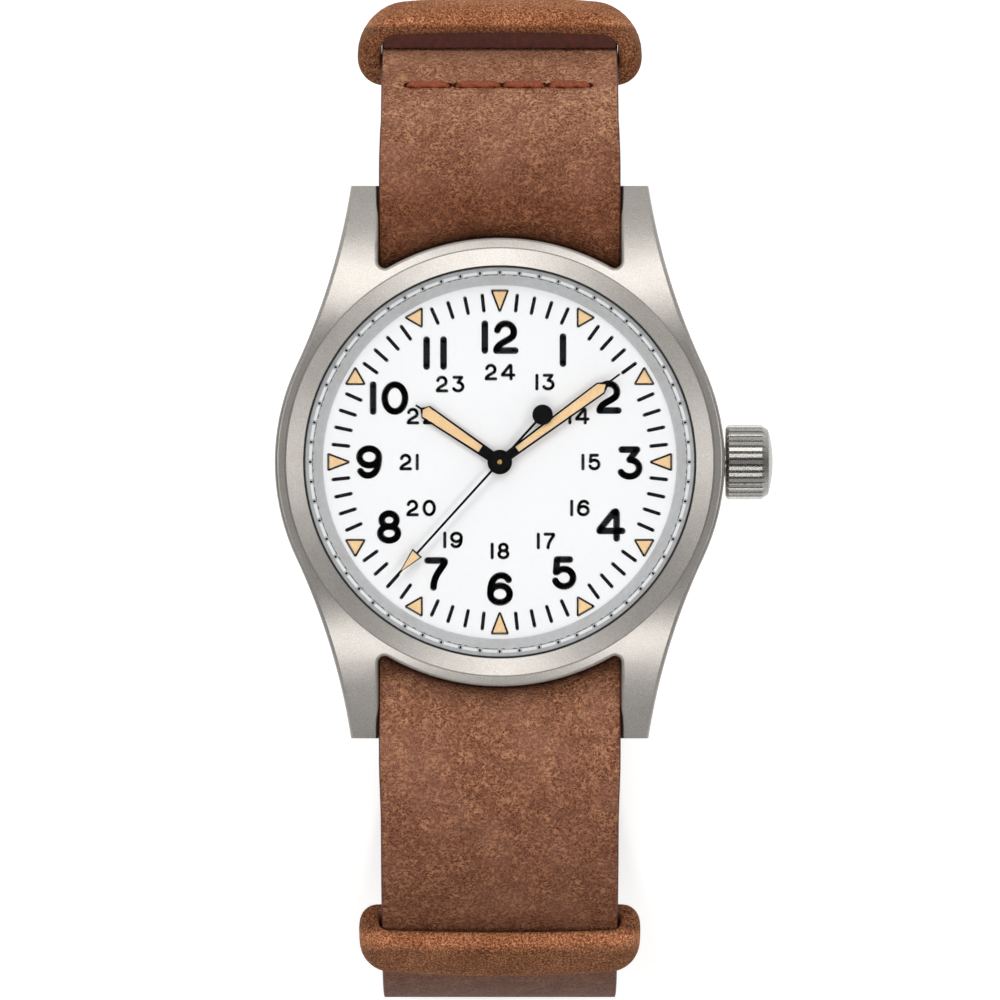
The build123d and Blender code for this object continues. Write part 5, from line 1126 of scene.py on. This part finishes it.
def loop_piece(name, point, heading, wide, high, wall, side, back_gap, corner, back_corner, crown):
    """A leather loop round the strap at a place on its middle line."""
    out, way = towards(heading + 90), towards(heading)
    centre = point + (high / 2 - wall - back_gap - thick / 2) * out
    outer = round_loop(wide, high, corner, back_corner, crown)
    inner_high = high - 2 * wall
    inner = round_loop(wide - 2 * side, inner_high, min(1.3, inner_high / 2 - 0.05), 0.3, crown * 0.3)
    turns = [2 * pi * (k + 0.5) / 28 for k in range(28)]
    points = []
    for (ox, oy), (ix, iy) in zip(outer, inner):
        for turn in turns:
            c, s = cos(turn), sin(turn)
            blunt = 2 / 3.2 if s > 0 else 2 / 7
            over = copysign(abs(c) ** blunt, c)
            through = (copysign(abs(s) ** blunt, s) + 1) / 2
            x, y = ix + (ox - ix) * through, iy + (oy - iy) * through
            spot = centre + y * out + over * keeper_band / 2 * way
            points.append(at(x, spot.x, spot.y))
    piece = mesh_piece(name, points, skin(len(outer), len(turns), closed=True), nap)
    fix_normals(piece)
    return piece


# %% Two keepers
upper_keeper_tilt = 72.3
upper_high, upper_wall, upper_gap = 6.3, 1.75, 0.34
lower_high, lower_wall, lower_gap = 4.1, 1.27, 0.02
upper_at = upper_hub + upper_r * towards(90 - upper_keeper_tilt)
upper_loop = loop_piece(
    "free_keeper", upper_at, -upper_keeper_tilt, wide=24.5, high=upper_high, wall=upper_wall,
    side=2.06, back_gap=upper_gap, corner=3.9, back_corner=2.3, crown=0.85,
)

# The overlap is widened to the whole opening and thickened, so its dark dyed finish also paints the shade under
# the arch.
flap_half, flap_tip = 10.0, 0.05
flap_front = upper_high - upper_wall - upper_gap - upper_wall - thick / 2
flap_top, flap_back = flap_front + 0.4, flap_front - 0.95
flap_outline = [
    (-flap_half, flap_front), (-flap_half - flap_tip, flap_top), (flap_half + flap_tip, flap_top),
    (flap_half, flap_front), (flap_half - flap_tip, flap_back), (flap_tip - flap_half, flap_back),
]
flap_points = []
for edge in (-2.3, 2.42):
    for x, lift in flap_outline:
        spot = upper_at + lift * towards(90 - upper_keeper_tilt) + edge * towards(-upper_keeper_tilt)
        flap_points.append(at(x, spot.x, spot.y))
flap = mesh_piece("keeper_overlap_and_shade_fill", *slab(flap_points), painted_edge, smooth=False)
fix_normals(flap)
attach(flap, "keeper")
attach(upper_loop, "keeper")
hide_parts("upper_keeper")

lower_at = lower_hub + lower_r * towards(90 + lower_keeper_tilt)
lower_loop = loop_piece(
    "fixed_keeper", lower_at, lower_keeper_tilt, wide=24.2, high=lower_high, wall=lower_wall, side=1.8,
    back_gap=lower_high - 2 * lower_wall - thick - lower_gap, corner=2.4, back_corner=1.5, crown=0.8,
)
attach(lower_loop, "case")
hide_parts("lower_keeper")
print("loops:", len(upper_loop.data.polygons) + len(lower_loop.data.polygons), "faces")

# %% [markdown]
# ## Thread
# Saddle stitches are made with thick waxed thread. Each stitch is a short length of two twisted
# plies that dives into the leather at both ends. The plies show because the thread's radius swells
# twice round and the swell winds along it.

# %% Thread finish
thread = Finish("waxed_thread", Specular_IOR_Level=0.35)
fuzz = thread.noise(0.14, 4.0, 0.6)
thread.surface(
    thread.ramp(fuzz, (0.3, linear(88, 36, 16)), (0.5, linear(134, 60, 28)), (0.72, linear(176, 92, 50))),
    (fuzz, 0.45, 0.65),
    (fuzz, 0.03),
)
print("thread ready")

# %% Stitches
stitch_rise = 0.08
plies_turn = 4.4


def stitch(place, left, right):
    """The points and faces of one stitch that dips into the leather at both ends."""
    rings, sides = 28, 14
    point, heading = place
    out, way = towards(heading + 90), towards(heading)
    points = []
    for k in range(rings + 1):
        part = k / rings
        x = left + (right - left) * part
        dive = min(part, 1 - part) * (right - left)
        sink = -0.45 * (1 - min(1.0, dive / 0.5)) ** 2
        thin = 0.75 + 0.25 * min(1.0, dive / 0.6)
        for s in range(sides):
            turn = 2 * pi * s / sides
            round_r = stitch_r * thin * (1 + 0.13 * cos(2 * turn - plies_turn * x))
            lift = stitch_rise + sink + round_r * sin(turn)
            spot = point + (thick / 2 + lift) * out + 1.15 * round_r * cos(turn) * way
            points.append(at(x, spot.x, spot.y))
    ends = [tuple(range(sides)), tuple(reversed(range(rings * sides, (rings + 1) * sides)))]
    return points, skin(rings + 1, sides) + ends


stitches_made = [stitch(seam, left, right) for seam in (front_seam, fold_seam) for left, right in stitch_ends]
stitches = mesh_piece("seam_threads", *joined(stitches_made), thread)
fix_normals(stitches)
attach(stitches, "case")
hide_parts("seam_stitches")
print("stitches", len(stitches_made))

# %% [markdown]
# ## Last step
# The box round every shown piece of the dressed watch, the floor left out, is measured. The
# dressed watch has to be as large as the bare CAD model.

low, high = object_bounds()
